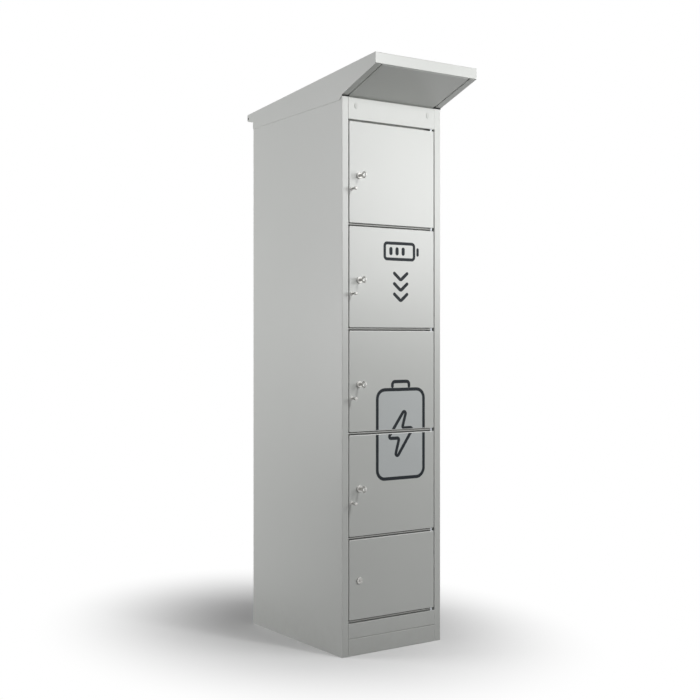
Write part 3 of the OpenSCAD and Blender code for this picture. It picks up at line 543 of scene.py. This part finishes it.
COAT_COLOUR = (0.615, 0.629, 0.605)
BODY_COAT = PowderCoat("body_powder_coat", COAT_COLOUR, 0.36, 0.012, Slot.BODY_COAT)
# Coat of the shelves and the floor panel, with painted shade on their noses in the gaps between
# doors.
SHELF_COAT_PAINTED_SHADE = PowderCoat("shelf_powder_coat_painted_shade", COAT_COLOUR, 0.36, 0.012, Slot.BODY_COAT, gap_shade_share=0.7)
# The doors' coat, with the painted highlight also on their level folds.
DOOR_COAT = PowderCoat("door_powder_coat_fine", COAT_COLOUR, 0.34, 0.010, Slot.DOOR_COAT, level=1.0)
ZINC = Plated("bright_zinc", (0.46, 0.48, 0.50), 0.40, 0.012, Slot.ZINC)
NICKEL = Plated("satin_nickel", (0.58, 0.575, 0.556), 0.53, 0.006, Slot.NICKEL,
                edge=(0.44, 0.435, 0.42))
# Pale edges over a wide radius: partly rubbed wear, partly a painted highlight on the rims of lock
# collars and knobs.
DULL_NICKEL = Plated("dull_nickel", (0.42, 0.415, 0.40), 0.54, 0.006, Slot.NICKEL,
                     edge=(0.68, 0.67, 0.65), rubbed=0.8)
BRASS = Plated("contact_brass_finish", (0.70, 0.52, 0.24), 0.30, 0.006, Slot.BRASS,
               edge=(0.85, 0.68, 0.36))
RUBBER = Moulded("matt_rubber", (0.022, 0.022, 0.023), 0.72, 0.03, Slot.RUBBER, sheen=0.2)
SHEATH = Moulded("lead_sheath", (0.018, 0.018, 0.020), 0.48, 0.02, Slot.SHEATH)
GREY_PLASTIC = Moulded("grey_polyamide", (0.34, 0.35, 0.35), 0.46, 0.015, Slot.GREY_PLASTIC)
PALE_PLASTIC = Moulded("pale_plug_moulding", (0.600, 0.612, 0.590), 0.42, 0.010, Slot.PALE_PLASTIC)
WHITE_PLASTIC = Moulded("white_moulding", (0.80, 0.80, 0.78), 0.34, 0.008, Slot.WHITE_PLASTIC)
BLACK_PLASTIC = Moulded("black_moulding", (0.025, 0.025, 0.026), 0.40, 0.015, Slot.BLACK_PLASTIC)
YELLOW_PLASTIC = Moulded("yellow_moulding", (0.72, 0.50, 0.04), 0.34, 0.010, Slot.YELLOW_PLASTIC)
DARK_FILM = Film("dark_graphic_film", (0.024, 0.029, 0.034), 0.50, 0.006, Slot.DOOR_COAT, gloss=0.15)
PALE_FILM = Film("pale_graphic_film", (0.610, 0.638, 0.638), 0.36, 0.006, Slot.DOOR_COAT)
FINISHES = (BODY_COAT, DOOR_COAT, ZINC, NICKEL, BRASS, RUBBER, SHEATH, GREY_PLASTIC, PALE_PLASTIC,
            WHITE_PLASTIC, BLACK_PLASTIC, YELLOW_PLASTIC)
SPECIAL = {"lock_case": DULL_NICKEL, "lock_barrel": DULL_NICKEL, "pull_knob": DULL_NICKEL,
           "shelf": SHELF_COAT_PAINTED_SHADE, "floor_panel": SHELF_COAT_PAINTED_SHADE}


# Mesh helpers

# Tolerance of lengths, and the distance up to which points of a finished stroke become one
TINY, WELD = 1e-7, 2e-6
# Angle up to which an edge looks smooth, and how deep a head sinks into its seat
SMOOTH, SEAT_DEPTH = math.radians(32), 0.3 * MM


def only_verts(geometry: Iterable) -> list[bmesh.types.BMVert]:
    """The vertices among the geometry that an operator returns."""
    return [g for g in geometry if isinstance(g, bmesh.types.BMVert)]


def finished(name: str, bm: bmesh.types.BMesh) -> bpy.types.Mesh:
    """A mesh made of a bmesh, which is freed."""
    mesh = bpy.data.meshes.new(name)
    bm.to_mesh(mesh)
    bm.free()
    return mesh


def add_object(name: str, data: bpy.types.ID) -> bpy.types.Object:
    """Adds an object with a mesh, lamp or camera to the scene."""
    made = bpy.data.objects.new(name, data)
    bpy.context.scene.collection.objects.link(made)
    return made


def lathe(bm: bmesh.types.BMesh, profile: Sequence[Point], steps: int) -> list[bmesh.types.BMVert]:
    """Adds a solid turned round the z axis.

    Args:
        bm: The mesh that it is added to.
        profile: Radius and height of each point, from axis to axis.
        steps: Faces round the axis.

    Returns:
        Its vertices.
    """
    before = set(bm.verts)
    verts = [bm.verts.new((r, 0.0, h)) for r, h in profile]
    edges = [bm.edges.new(pair) for pair in zip(verts, verts[1:])]
    bmesh.ops.spin(bm, geom=verts + edges, cent=(0, 0, 0), axis=Axis.Z.vector,
                   angle=math.tau, steps=steps, use_merge=True)
    bmesh.ops.remove_doubles(bm, verts=[v for v in bm.verts if v not in before], dist=TINY)
    return [v for v in bm.verts if v not in before]


@dataclass
class Bench:
    """Builds the mesh of one new piece and hands it over as an object.

    Attributes:
        name: The piece's name.
        finish: Its finish.
        body: The CAD body it rides on.
        bm: Its mesh while it is built.
    """

    name: str
    finish: Finish
    body: str
    bm: bmesh.types.BMesh = field(default_factory=bmesh.new)

    def turned(self, profile: Sequence[Point], place: Matrix, steps: int) -> None:
        """Adds a turned solid.

        Args:
            profile: Radius and height of each point, from axis to axis.
            place: Takes the local z axis to the solid's own axis.
            steps: Faces round the axis.
        """
        bmesh.ops.transform(self.bm, matrix=place, verts=lathe(self.bm, profile, steps))

    def copy(self, part: bpy.types.Mesh, place: Matrix) -> None:
        """Adds a copy of a finished mesh.

        Args:
            part: The mesh.
            place: Where the copy goes.
        """
        before = len(self.bm.verts)
        self.bm.from_mesh(part)
        self.bm.verts.ensure_lookup_table()
        bmesh.ops.transform(self.bm, matrix=place, verts=self.bm.verts[before:])

    def hand_over(self) -> None:
        """Makes the object, dresses it and lets it ride on its body."""
        bmesh.ops.recalc_face_normals(self.bm, faces=self.bm.faces)
        mesh = finished(self.name, self.bm)
        mesh.shade_smooth()
        mesh.set_sharp_from_angle(angle=SMOOTH)
        made = add_object(self.name, mesh)
        mesh.materials.append(self.finish.material())
        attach(made, self.body)
        log.info("%s: %d faces on %s", self.name, len(mesh.polygons), self.body)


@dataclass(frozen=True)
class Screw:
    """The head of a pan-head screw with a cross recess or a slot.

    Attributes:
        radius: Radius of the head.
        height: Height of the head above its seat.
        slotted: True for a slot instead of a cross.
        narrow: Half width of the recess, as a share of the radius.
        reach: Half length of the cross, as a share of the radius.
    """

    radius: float
    height: float
    slotted: bool = False
    narrow: float = 0.13
    reach: float = 0.52

    def in_recess(self, point: Vector) -> bool:
        """Whether a point of the head's top lies inside the recess."""
        across, along = abs(point.x) / self.radius, abs(point.y) / self.radius
        if self.slotted:
            return across < self.narrow
        return min(across, along) < self.narrow and max(across, along) < self.reach

    def top_faces(self, bm: bmesh.types.BMesh) -> list[bmesh.types.BMFace]:
        """The faces of the head's flat top in its mesh."""
        return [f for f in bm.faces if all(v.co.z > self.height - TINY for v in f.verts)]

    def mesh(self) -> bpy.types.Mesh:
        """The head along +z from its seat, which is built at its first use."""
        name = f"screw_head_{self.radius / MM:.1f}"
        found = bpy.data.meshes.get(name)
        if found:
            return found
        bm = bmesh.new()
        depth, taper, shares = 0.6, 0.75, ((1.0, 0.5), (0.94, 0.8), (0.8, 0.96), (0.7, 1.0))
        rim = [(r * self.radius, h * self.height) for r, h in shares]
        lathe(bm, [(0.0, -SEAT_DEPTH), (self.radius, -SEAT_DEPTH), *rim, (0.0, self.height)], 24)
        bmesh.ops.dissolve_faces(bm, faces=self.top_faces(bm))
        cuts = [half * self.radius * sign for half in (self.narrow, self.reach) for sign in (-1, 1)]
        for plane, cut in ((plane, cut) for plane in (Axis.X, Axis.Y) for cut in cuts):
            faces = self.top_faces(bm)
            edges = list({edge for face in faces for edge in face.edges})
            corners = list({vert for face in faces for vert in face.verts})
            bmesh.ops.bisect_plane(bm, geom=corners + edges + faces, dist=TINY / 10,
                                   plane_co=plane.vector * cut, plane_no=plane.vector)
        inside = [f for f in self.top_faces(bm) if self.in_recess(f.calc_center_median())]
        floor = only_verts(bmesh.ops.extrude_face_region(bm, geom=inside)["geom"])
        bmesh.ops.translate(bm, verts=floor, vec=(0, 0, -depth * self.height))
        if not self.slotted:
            bmesh.ops.scale(bm, verts=floor, vec=(taper, taper, 1))
        return finished(name, bm)


def facing(point: Sequence[float], towards: Axis, sign: float = 1.0, turn: float = 0.0) -> Matrix:
    """A transform that takes the local z axis to a direction of the frame.

    Args:
        point: Where the local origin goes.
        towards: The axis that the local z axis goes along.
        sign: 1 along that axis, -1 against it.
        turn: Angle about the local z axis, in radians.

    Returns:
        The transform.
    """
    direction = towards.vector * sign
    turned = direction.to_track_quat("Z", "Y").to_matrix().to_4x4()
    return Matrix.Translation(Vector(point)) @ turned @ Matrix.Rotation(turn, 4, "Z")


@dataclass
class Pen:
    """Draws a flat stroke of one width on the plane of the door faces.

    Attributes:
        bm: The mesh that it draws into, in x and z.
        width: Width of the stroke.
        place: Where the pen is.
        heading: Direction of travel, from x towards z, in radians.
        rung: The present cross line: left end, middle and right end.
    """

    bm: bmesh.types.BMesh
    width: float
    place: Vector = field(default_factory=Vector)
    heading: float = 0.0
    rung: list[bmesh.types.BMVert] = field(default_factory=list)

    def ahead(self) -> Vector:
        """Unit vector of travel."""
        return Vector((math.cos(self.heading), 0.0, math.sin(self.heading)))

    def aside(self) -> Vector:
        """Unit vector to the left of travel."""
        return Vector((-math.sin(self.heading), 0.0, math.cos(self.heading)))

    def start(self) -> None:
        """Sets down the first cross line."""
        half = self.aside() * self.width / 2
        self.rung = [self.bm.verts.new(self.place + half * s) for s in (1, 0, -1)]
        for pair in zip(self.rung, self.rung[1:]):
            self.bm.edges.new(pair)

    def rung_edges(self) -> list[bmesh.types.BMEdge]:
        """The two edges of the present cross line."""
        return [self.bm.edges.get(pair) for pair in zip(self.rung, self.rung[1:])]

    def find_rung(self, verts: Iterable[bmesh.types.BMVert]) -> None:
        """Takes the new cross line from the three vertices that an operator made."""
        aside = self.aside()
        self.rung = sorted(verts, key=lambda v: -(v.co - self.place).dot(aside))

    def run(self, length: float) -> None:
        """Draws straight ahead.

        Args:
            length: How far.
        """
        if length < TINY:
            return
        verts = only_verts(bmesh.ops.extrude_edge_only(self.bm, edges=self.rung_edges())["geom"])
        step = self.ahead() * length
        bmesh.ops.translate(self.bm, verts=verts, vec=step)
        self.place = self.place + step
        self.find_rung(verts)

    def turn(self, angle: float, radius: float) -> None:
        """Draws an arc.

        Args:
            angle: Turn to the left, in radians, or to the right if negative.
            radius: Radius of the stroke's middle line.
        """
        side, coarseness = math.copysign(1.0, angle), 0.9
        centre = self.place + self.aside() * radius * side
        steps = max(2, round(abs(angle) * math.sqrt(radius / MM) / coarseness))
        made = bmesh.ops.spin(self.bm, geom=self.rung + self.rung_edges(), cent=centre,
                              axis=(0, -1, 0), angle=angle, steps=steps, use_merge=False)
        arm = Matrix.Rotation(angle, 4, (0, -1, 0)) @ (self.place - centre)
        self.place = centre + arm
        self.heading += angle
        self.find_rung(only_verts(made["geom_last"]))

    def cap(self, forward: bool) -> None:
        """Rounds the stroke at the present cross line.

        Args:
            forward: True at its end, False at its start.
        """
        first = self.rung[2 if forward else 0]
        arm = [self.bm.verts.new(v.co) for v in (self.rung[1], first)]
        edge = self.bm.edges.new(arm)
        bmesh.ops.spin(self.bm, geom=arm + [edge], cent=self.rung[1].co.copy(), axis=(0, -1, 0),
                       angle=math.pi, steps=8, use_merge=False)

    def trace(self, points: Sequence[Point], radius: float, closed: bool) -> None:
        """Draws along points with rounded corners.

        Args:
            points: Corners in x and z.
            radius: Radius at each corner.
            closed: Whether the last point joins the first.
        """
        corners = [Vector((x, 0.0, z)) for x, z in points]
        if closed:
            middle = (corners[0] + corners[-1]) / 2
            corners = [middle, *corners, middle]
        legs = [b - a for a, b in zip(corners, corners[1:])]
        headings = [math.atan2(leg.z, leg.x) for leg in legs]
        turns = [math.remainder(b - a, math.tau) for a, b in zip(headings, headings[1:])]
        cuts = [0.0, *(radius * math.tan(abs(t) / 2) for t in turns), 0.0]
        self.place, self.heading = corners[0], headings[0]
        self.start()
        if not closed:
            self.cap(forward=False)
        for i, leg in enumerate(legs):
            self.run(leg.length - cuts[i] - cuts[i + 1])
            if i < len(turns):
                self.turn(turns[i], radius)
        if not closed:
            self.cap(forward=True)
        bmesh.ops.remove_doubles(self.bm, verts=self.bm.verts, dist=WELD)


# Sub-assemblies


@dataclass
class Locker:
    """The CAD nodes and their finishes.

    Attributes:
        nodes: The CAD nodes by name.
    """

    nodes: dict[str, bpy.types.Object]

    def dress(self) -> None:
        """Gives every CAD node the finish of its record slot, or its own special one."""
        by_slot = {finish.slot.value: finish for finish in FINISHES}
        for name, node in self.nodes.items():
            special = [finish for start, finish in SPECIAL.items() if name.startswith(start)]
            for slot in node.material_slots:
                key = slot.material.name.split(".")[0]
                if key not in by_slot:
                    log.warning("%s has no finish for %s", name, key)
                    continue
                slot.link = "DATA"
                slot.material = (special[0] if special else by_slot[key]).material()
        log.info("finishes on %d CAD nodes", len(self.nodes))


@dataclass(frozen=True)
class Stroke:
    """One line of the graphic, in millimetres on the plane of the door faces.

    Attributes:
        points: Corners in x and z.
        corner: Radius at each corner.
        closed: Whether the last point joins the first.
        width: Width of the line.
    """

    points: Sequence[Point]
    corner: float
    closed: bool = True
    width: float = 11.0

    def draw(self, bm: bmesh.types.BMesh) -> None:
        """Draws the line into a mesh."""
        points = [(x * MM, z * MM) for x, z in self.points]
        Pen(bm, self.width * MM).trace(points, self.corner * MM, self.closed)


BATTERY = Stroke([(-62, 556), (128, 556), (128, 846), (-62, 846)], 30)
BATTERY_CAP = Stroke([(-1, 857), (-1, 872), (67, 872), (67, 857)], 10, closed=False)
BOLT = Stroke([(63, 799), (-19, 687), (27, 687), (3, 603), (85, 719), (39, 719)], 6.2)
LEVEL_BOX = Stroke([(-32, 1272), (88, 1272), (88, 1324), (-32, 1324)], 9, width=10)
LEVEL_TIP = Stroke([(103, 1289), (103, 1307)], 1, closed=False, width=10)
LEVEL_BARS = [Stroke([(x, 1291), (x, 1305)], 1, closed=False, width=13) for x in (-7, 18, 43)]
CHEVRONS = [Stroke([(7, z + 22), (33, z), (59, z + 22)], 6.2, closed=False)
            for z in (1204, 1170, 1136)]


@dataclass
class DoorGraphics:
    """A generic line graphic of charging: a battery with a bolt, chevrons and a level mark.

    Attributes:
        film: Thickness of the film.
        margin: Distance that the film keeps from a door's edges.
    """

    film: float = 0.15 * MM
    margin: float = 2.5 * MM

    def fill(self, bm: bmesh.types.BMesh) -> None:
        """Draws the pale field inside the large battery into a mesh."""
        low, high = (Vector((x, 0, z)) * MM for x, z in (BATTERY.points[0], BATTERY.points[2]))
        line = BATTERY.width * MM
        size = Matrix.Diagonal((high.x - low.x - line, high.z - low.z - line, 1, 1))
        place = Matrix.Translation((low + high) / 2) @ Matrix.Rotation(math.pi / 2, 4, "X")
        bmesh.ops.create_grid(bm, x_segments=1, y_segments=1, size=0.5, matrix=place @ size)
        bmesh.ops.bevel(bm, geom=bm.verts[:], offset=BATTERY.corner * MM - line / 2,
                        offset_type="OFFSET", affect="VERTICES", segments=8, profile=0.5, material=-1)

    def piece(self, name: str, number: int, finish: Finish, film: float,
              *motifs: Callable[[bmesh.types.BMesh], None]) -> None:
        """Cuts motifs to a door, thickens them and lays them on its face.

        Args:
            name: First part of the piece's name.
            number: The door's number.
            finish: The film's finish.
            film: The film's thickness.
            motifs: Methods that draw into a mesh.
        """
        bench = Bench(f"{name}_door_{number}", finish, f"door_{number}")
        bm = bench.bm
        for motif in motifs:
            motif(bm)
        low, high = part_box(f"door_{number}")
        for level, side in ((low.z + self.margin, -1), (high.z - self.margin, 1)):
            bmesh.ops.bisect_plane(bm, geom=[*bm.verts, *bm.edges, *bm.faces], plane_co=(0, 0, level),
                                   plane_no=(0, 0, side), clear_outer=True, dist=TINY)
        raised = only_verts(bmesh.ops.extrude_face_region(bm, geom=bm.faces[:])["geom"])
        bmesh.ops.translate(bm, verts=raised, vec=(0, -film, 0))
        door_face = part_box("plinth_strip")[0].y
        bmesh.ops.translate(bm, verts=bm.verts, vec=(0, door_face, 0))
        bench.hand_over()

    def build(self) -> None:
        """Makes all films."""
        battery = [stroke.draw for stroke in (BATTERY, BATTERY_CAP, BOLT)]
        marks = [stroke.draw for stroke in (LEVEL_BOX, LEVEL_TIP, *LEVEL_BARS, *CHEVRONS)]
        for number in (3, 4):
            self.piece("battery_field", number, PALE_FILM, self.film / 2, self.fill)
            self.piece("battery_lines", number, DARK_FILM, self.film, *battery)
        self.piece("level_lines", 2, DARK_FILM, self.film, *marks)


@dataclass
class Fasteners:
    """Screws and rivets that hold sheets, sockets, rail and wires.

    Attributes:
        rivet: Radius and height of a rivet's head.
        small: A screw of the sockets' plates and the breaker.
        large: A screw of the rail.
        clamp: A clamping screw of the terminal block.
    """

    rivet: tuple[float, float] = (4.0 * MM, 1.3 * MM)
    small: Screw = Screw(2.6 * MM, 1.4 * MM)
    large: Screw = Screw(4.2 * MM, 2.2 * MM)
    clamp: Screw = Screw(1.65 * MM, 0.9 * MM, slotted=True)

    def set_rivets(self, name: str, spots: Iterable[Place], sign: int) -> None:
        """Makes one piece of domed rivet heads, each with its mandrel dimple.

        Args:
            name: The piece's name.
            spots: Where each rivet's seat is.
            sign: 1 where they face the back, -1 where they face the doors.
        """
        radius, height = self.rivet
        brim, dimple = 0.25 * height, 0.24 * radius
        arc = [math.radians(a) for a in (0, 20, 40, 58, 72)]
        dome = [(radius * math.cos(a), brim + (height - brim) * math.sin(a)) for a in arc]
        profile = [(0.0, -SEAT_DEPTH), (radius, -SEAT_DEPTH), *dome,
                   (dimple, height - brim), (0.0, height - brim)]
        bench = Bench(name, ZINC, "cabinet")
        for spot in spots:
            bench.turned(profile, facing(spot, Axis.Y, sign), steps=20)
        bench.hand_over()

    def set_screws(self, name: str, screws: Iterable[tuple[Screw, Sequence[float], float]]) -> None:
        """Makes one piece of screws that face the doors.

        Args:
            name: The piece's name.
            screws: The kind, seat and turn of each. The turns differ, as from a screwdriver.
        """
        bench = Bench(name, ZINC, "cabinet")
        for screw, spot, turn in screws:
            bench.copy(screw.mesh(), facing(spot, Axis.Y, -1, turn))
        bench.hand_over()

    def back_rivets(self) -> None:
        """Blind rivets that join the back panel to the rear folds of the sides."""
        pitch, end, inset = 280 * MM, 60 * MM, 9 * MM
        low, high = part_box("left_side_panel")
        reach, across = high.z - 2 * end, abs(low.x) - inset
        count = int(reach // pitch) + 1
        levels = [end + i * reach / (count - 1) for i in range(count)]
        spots = [(side * across, high.y, level) for side in (-1, 1) for level in levels]
        self.set_rivets("back_rivets", spots, 1)

    def socket_places(self) -> list[Vector]:
        """The middle of the front of each socket's face plate, from the lowest up."""
        low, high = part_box("socket_outlets")
        half = (high.x - low.x) / 2
        first, last = low.z + half, high.z - half
        return [Vector((low.x + half, low.y, first + (last - first) * i / 3)) for i in range(4)]

    def duct_rivets(self) -> None:
        """Rivets on the lip of the wiring duct, two to each socket."""
        inset, sheet, rises = 6.5 * MM, 1.2 * MM, (-130 * MM, 30 * MM)
        low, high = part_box("wiring_duct")
        spots = [(low.x + inset, high.y - sheet, place.z + rise)
                 for place in self.socket_places() for rise in rises]
        self.set_rivets("duct_rivets", spots, -1)

    def plate_screws(self) -> None:
        """A screw in each corner of the sockets' face plates."""
        reach = 20.5 * MM
        corners = [Vector((x, 0, z)) * reach for z in (-1, 1) for x in (-1, 1)]
        self.set_screws("socket_plate_screws", [
            (self.small, place + corner, 0.7 * i + 1.1 * j)
            for i, place in enumerate(self.socket_places()) for j, corner in enumerate(corners)])

    def rail_screws(self) -> None:
        """Two screws that hold the mounting rail on the back panel."""
        inset, sunk = 14 * MM, 1 * MM
        low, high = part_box("din_rail")
        depth, level = high.y - sunk, (low.z + high.z) / 2
        between = (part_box("breaker")[1].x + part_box("terminal_block")[0].x) / 2
        self.set_screws("rail_screws", [(self.large, (low.x + inset, depth, level), 0.4),
                                        (self.large, (between, depth, level), 1.0)])

    def clamp_screws(self) -> None:
        """Clamping screws down the holes of the terminal block and of the breaker."""
        ways, sunk, rises = 12, 3.7 * MM, (-5 * MM, 5 * MM)
        low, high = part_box("terminal_block")
        pitch, middle = (high.x - low.x) / ways, (low.z + high.z) / 2
        block = [
            (self.clamp, (low.x + pitch * (i + 0.5), low.y + sunk, middle + rise), 2.3 * i + 0.9 * j)
            for i in range(ways) for j, rise in enumerate(rises)]
        poles, sunk, inset = (0.25, 0.75), 19.7 * MM, 8 * MM
        low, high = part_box("breaker")
        breaker = [
            (self.small, (low.x + (high.x - low.x) * pole, low.y + sunk, level), 9 * (pole + level))
            for pole in poles for level in (low.z + inset, high.z - inset)]
        self.set_screws("clamp_screws", block + breaker)

    def build(self) -> None:
        """Makes all fasteners."""
        self.back_rivets()
        self.duct_rivets()
        self.plate_screws()
        self.rail_screws()
        self.clamp_screws()


@dataclass
class DripEnds:
    """Two plates that close the ends of the channel inside the roof's drip fold, each with a plug.

    Attributes:
        sheet: Thickness of a plate.
        inset: Distance of a plate's face from the roof's side.
        drip: Height of a plate's rear edge.
        apron: How much lower a plate reaches at its front edge.
        corner: Radius of its lower rear corner.
        fall: Fall of the roof per length.
    """

    sheet: float = 1.0 * MM
    inset: float = 0.2 * MM
    drip: float = 23.5 * MM
    apron: float = 7.0 * MM
    corner: float = 5.0 * MM
    fall: float = 73 / 783

    def plate(self, bm: bmesh.types.BMesh, middle: Vector, size: Vector) -> None:
        """Adds a plate with sloped edges and one round corner.

        Args:
            bm: The mesh that it is added to.
            middle: Middle of its box without the apron.
            size: Size of that box.
        """
        place = Matrix.Translation(middle) @ Matrix.Diagonal((*size, 1))
        verts = bmesh.ops.create_cube(bm, size=1.0, matrix=place)["verts"]
        rear = [v for v in verts if v.co.y > middle.y]
        toe = [v for v in verts if v.co.y < middle.y and v.co.z < middle.z]
        upper = [v for v in rear if v.co.z > middle.z]
        heel = bm.edges.get([v for v in rear if v not in upper])
        bmesh.ops.translate(bm, verts=toe, vec=(0, 0, -self.apron))
        bmesh.ops.translate(bm, verts=upper, vec=(0, 0, -self.fall * size.y))
        bmesh.ops.bevel(bm, geom=[heel], offset=self.corner, offset_type="OFFSET",
                        affect="EDGES", segments=6, profile=0.5, material=-1)

    def build(self) -> None:
        """Makes the plates as one piece and their plugs as another."""
        plates = Bench("drip_end_plates", BODY_COAT, "cabinet")
        plugs = Bench("drain_plugs", RUBBER, "cabinet")
        lap, behind, tuck = 0.3 * MM, 1.5 * MM, 0.6 * MM
        radius, plug_inset, plug_rise, tall = 2.8 * MM, 4.5 * MM, 9.9 * MM, 1.6
        seat, rim, crown = -self.sheet / 2, 0.05 * MM, 0.15 * MM
        low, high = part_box("roof_sheet")
        front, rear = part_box("left_side_panel")[1].y - lap, high.y - behind
        level = high.z - self.fall * (high.y - low.y) - tuck
        bottom, top = level - self.drip, level + self.fall * (rear - front)
        size = Vector((self.sheet, rear - front, top - bottom))
        face = high.x - self.inset
        for side in (-1, 1):
            middle = Vector((side * (face - self.sheet / 2), (front + rear) / 2, (top + bottom) / 2))
            self.plate(plates.bm, middle, size)
            spot = (side * face, rear - plug_inset, bottom + plug_rise)
            place = facing(spot, Axis.X, side) @ Matrix.Diagonal((1.0, tall, 1.0, 1.0))
            plugs.turned([(0.0, seat), (radius, seat), (radius, rim), (0.0, crown)], place, steps=24)
        plates.hand_over()
        plugs.hand_over()


# Studio


@dataclass(frozen=True)
class Lamp:
    """An area lamp.

    Attributes:
        name: Its name.
        place: Its centre.
        aim: The point that it faces.
        width: Its width.
        height: Its height.
        power: Its power in watts.
    """

    name: str
    place: Place
    aim: Place
    width: float
    height: float
    power: float

    def light(self) -> None:
        """Adds the lamp to the scene."""
        data = bpy.data.lights.new(self.name, "AREA")
        data.shape = "RECTANGLE"
        data.size, data.size_y = self.width, self.height
        data.energy = self.power
        made = add_object(self.name, data)
        made.location = self.place
        ahead = Vector(self.aim) - Vector(self.place)
        made.rotation_euler = ahead.to_track_quat("-Z", "Y").to_euler()


@dataclass(frozen=True)
class PhotoCamera:
    """The camera of the photograph, found from its vanishing points.

    Attributes:
        place: Where it stands.
        heading: Its turn from +y towards +x, in degrees.
        focal: Its focal length in pixels.
        picture: The picture's width and height in pixels.
        horizon: Height of the horizon in pixels from the top.
        clip: Nearest and farthest distance that it sees.
    """

    place: Place = (-2.3109, -3.3004, 1.0109)
    heading: float = 34.70
    focal: float = 1182.0
    picture: float = 700.0
    horizon: float = 339.1
    clip: Range = (0.05, 100.0)

    def aim(self) -> None:
        """Adds the camera and makes it the scene's own."""
        data = bpy.data.cameras.new("photo_camera")
        data.sensor_width = 36.0
        data.lens = self.focal * data.sensor_width / self.picture
        data.shift_y = (self.horizon - self.picture / 2) / self.picture
        data.clip_start, data.clip_end = self.clip
        made = add_object("photo_camera", data)
        made.location = self.place
        made.rotation_euler = (math.pi / 2, 0.0, -math.radians(self.heading))
        bpy.context.scene.camera = made


@dataclass
class Studio:
    """Floor, world, lamps and camera.

    Attributes:
        ambient: Brightness of the world for the light that it gives.
        pale: Brightness of the floor where it shows.
        bounce: Brightness of the floor for the light that it throws back.
        extent: Half width of the floor.
        roughness: Roughness of the floor.
        gloss: Specular level of the floor.
        middle: Middle of the oval round the object, outside which the floor fades to white.
        turn: Turn of the oval from +y towards -x, in degrees.
        reach: Its half width and half length.
        fade: Shares of its reach at which the fade starts and at which the floor is white.
        lamps: The lamps.
    """

    ambient: float = 0.0
    pale: float = 0.88
    bounce: float = 0.35
    extent: float = 9.0
    roughness: float = 0.8
    gloss: float = 0.1
    middle: Place = (-0.05, 0.23, 0.0)
    turn: float = 2.0
    reach: Range = (0.4, 0.5)
    fade: Range = (0.4, 2.3)
    lamps: tuple[Lamp, ...] = (
        Lamp("front_right_softbox", (1.62, -2.15, 1.70), (0.0, -0.2, 1.3), 1.3, 1.0, 23.7),
        Lamp("high_front_key", (0.62, -2.35, 2.60), (0.0, -0.2, 1.0), 0.25, 0.4, 18.0),
        Lamp("near_front_key", (0.30, -1.70, 2.25), (0.0, -0.2, 1.0), 0.4, 0.3, 6.6),
        Lamp("rear_left_softbox", (-2.60, 1.80, 1.80), (0.0, 0.1, 1.0), 1.4, 1.8, 36.5),
        Lamp("low_left_softbox", (-2.60, 1.80, 0.80), (0.0, 0.1, 0.8), 1.4, 0.9, 18.1),
    )

    def seen(self, graph: Graph) -> Socket:
        """1 for rays that show the background: from the camera, off gloss and through glass."""
        path = graph.add("LightPath").outputs
        either = graph.math("MAXIMUM", path["Is Camera Ray"], path["Is Glossy Ray"])
        return graph.math("MAXIMUM", either, path["Is Transmission Ray"])

    def world(self) -> None:
        """A world that shows white and lights the object as far as ambient says."""
        made = bpy.data.worlds.new("studio_world")
        made.use_nodes = True
        graph = Graph(made.node_tree)
        level = graph.span(self.seen(graph), (0.0, 1.0), (self.ambient, 1.0))
        background = made.node_tree.nodes["Background"]
        graph.fill(background, {"Color": rgba((1.0, 1.0, 1.0)), "Strength": level})
        bpy.context.scene.world = made

    def floor(self) -> None:
        """A pale floor that keeps the shadow and fades to white away from the object."""
        bm = bmesh.new()
        bmesh.ops.create_grid(bm, x_segments=8, y_segments=8, size=self.extent)
        mesh = finished("studio_floor", bm)
        made = add_object("studio_floor", mesh)
        finish = bpy.data.materials.new("pale_floor")
        finish.use_nodes = True
        tree = finish.node_tree
        graph = Graph(tree)
        seen = self.seen(graph)
        shader = tree.nodes["Principled BSDF"]
        tone = graph.mix(seen, rgba((self.bounce,) * 3), rgba((self.pale,) * 3))
        graph.fill(shader, {"Base Color": tone, "Roughness": self.roughness,
                            "Specular IOR Level": self.gloss})
        oval = {"Vector": graph.add("TexCoord").outputs["Object"], "Location": self.middle,
                "Rotation": (0.0, 0.0, math.radians(self.turn)), "Scale": (*self.reach, 1.0)}
        spot = graph.add("Mapping", oval, vector_type="TEXTURE").outputs[0]
        away = graph.add("VectorMath", {0: spot}, operation="LENGTH").outputs["Value"]
        share = graph.times(graph.span(away, self.fade), seen)
        white = graph.add("Emission", {"Color": rgba((1.0, 1.0, 1.0)), "Strength": 1.0})
        both = graph.add("MixShader", {0: share, 1: shader.outputs[0], 2: white.outputs[0]})
        graph.fill(tree.nodes["Material Output"], {"Surface": both.outputs[0]})
        mesh.materials.append(finish)

    def set_up(self) -> None:
        """Builds the studio."""
        self.world()
        self.floor()
        for lamp in self.lamps:
            lamp.light()
        PhotoCamera().aim()
        bpy.context.scene.view_settings.view_transform = "Standard"
        log.info("studio with %d lamps", len(self.lamps))


def main() -> None:
    """Builds the dressed locker in its studio."""
    logging.basicConfig(level=logging.INFO, format="%(name)s: %(message)s")
    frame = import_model()
    Studio().set_up()
    Locker(frame["nodes"]).dress()
    DoorGraphics().build()
    Fasteners().build()
    DripEnds().build()


if __name__ == "__main__":
    main()
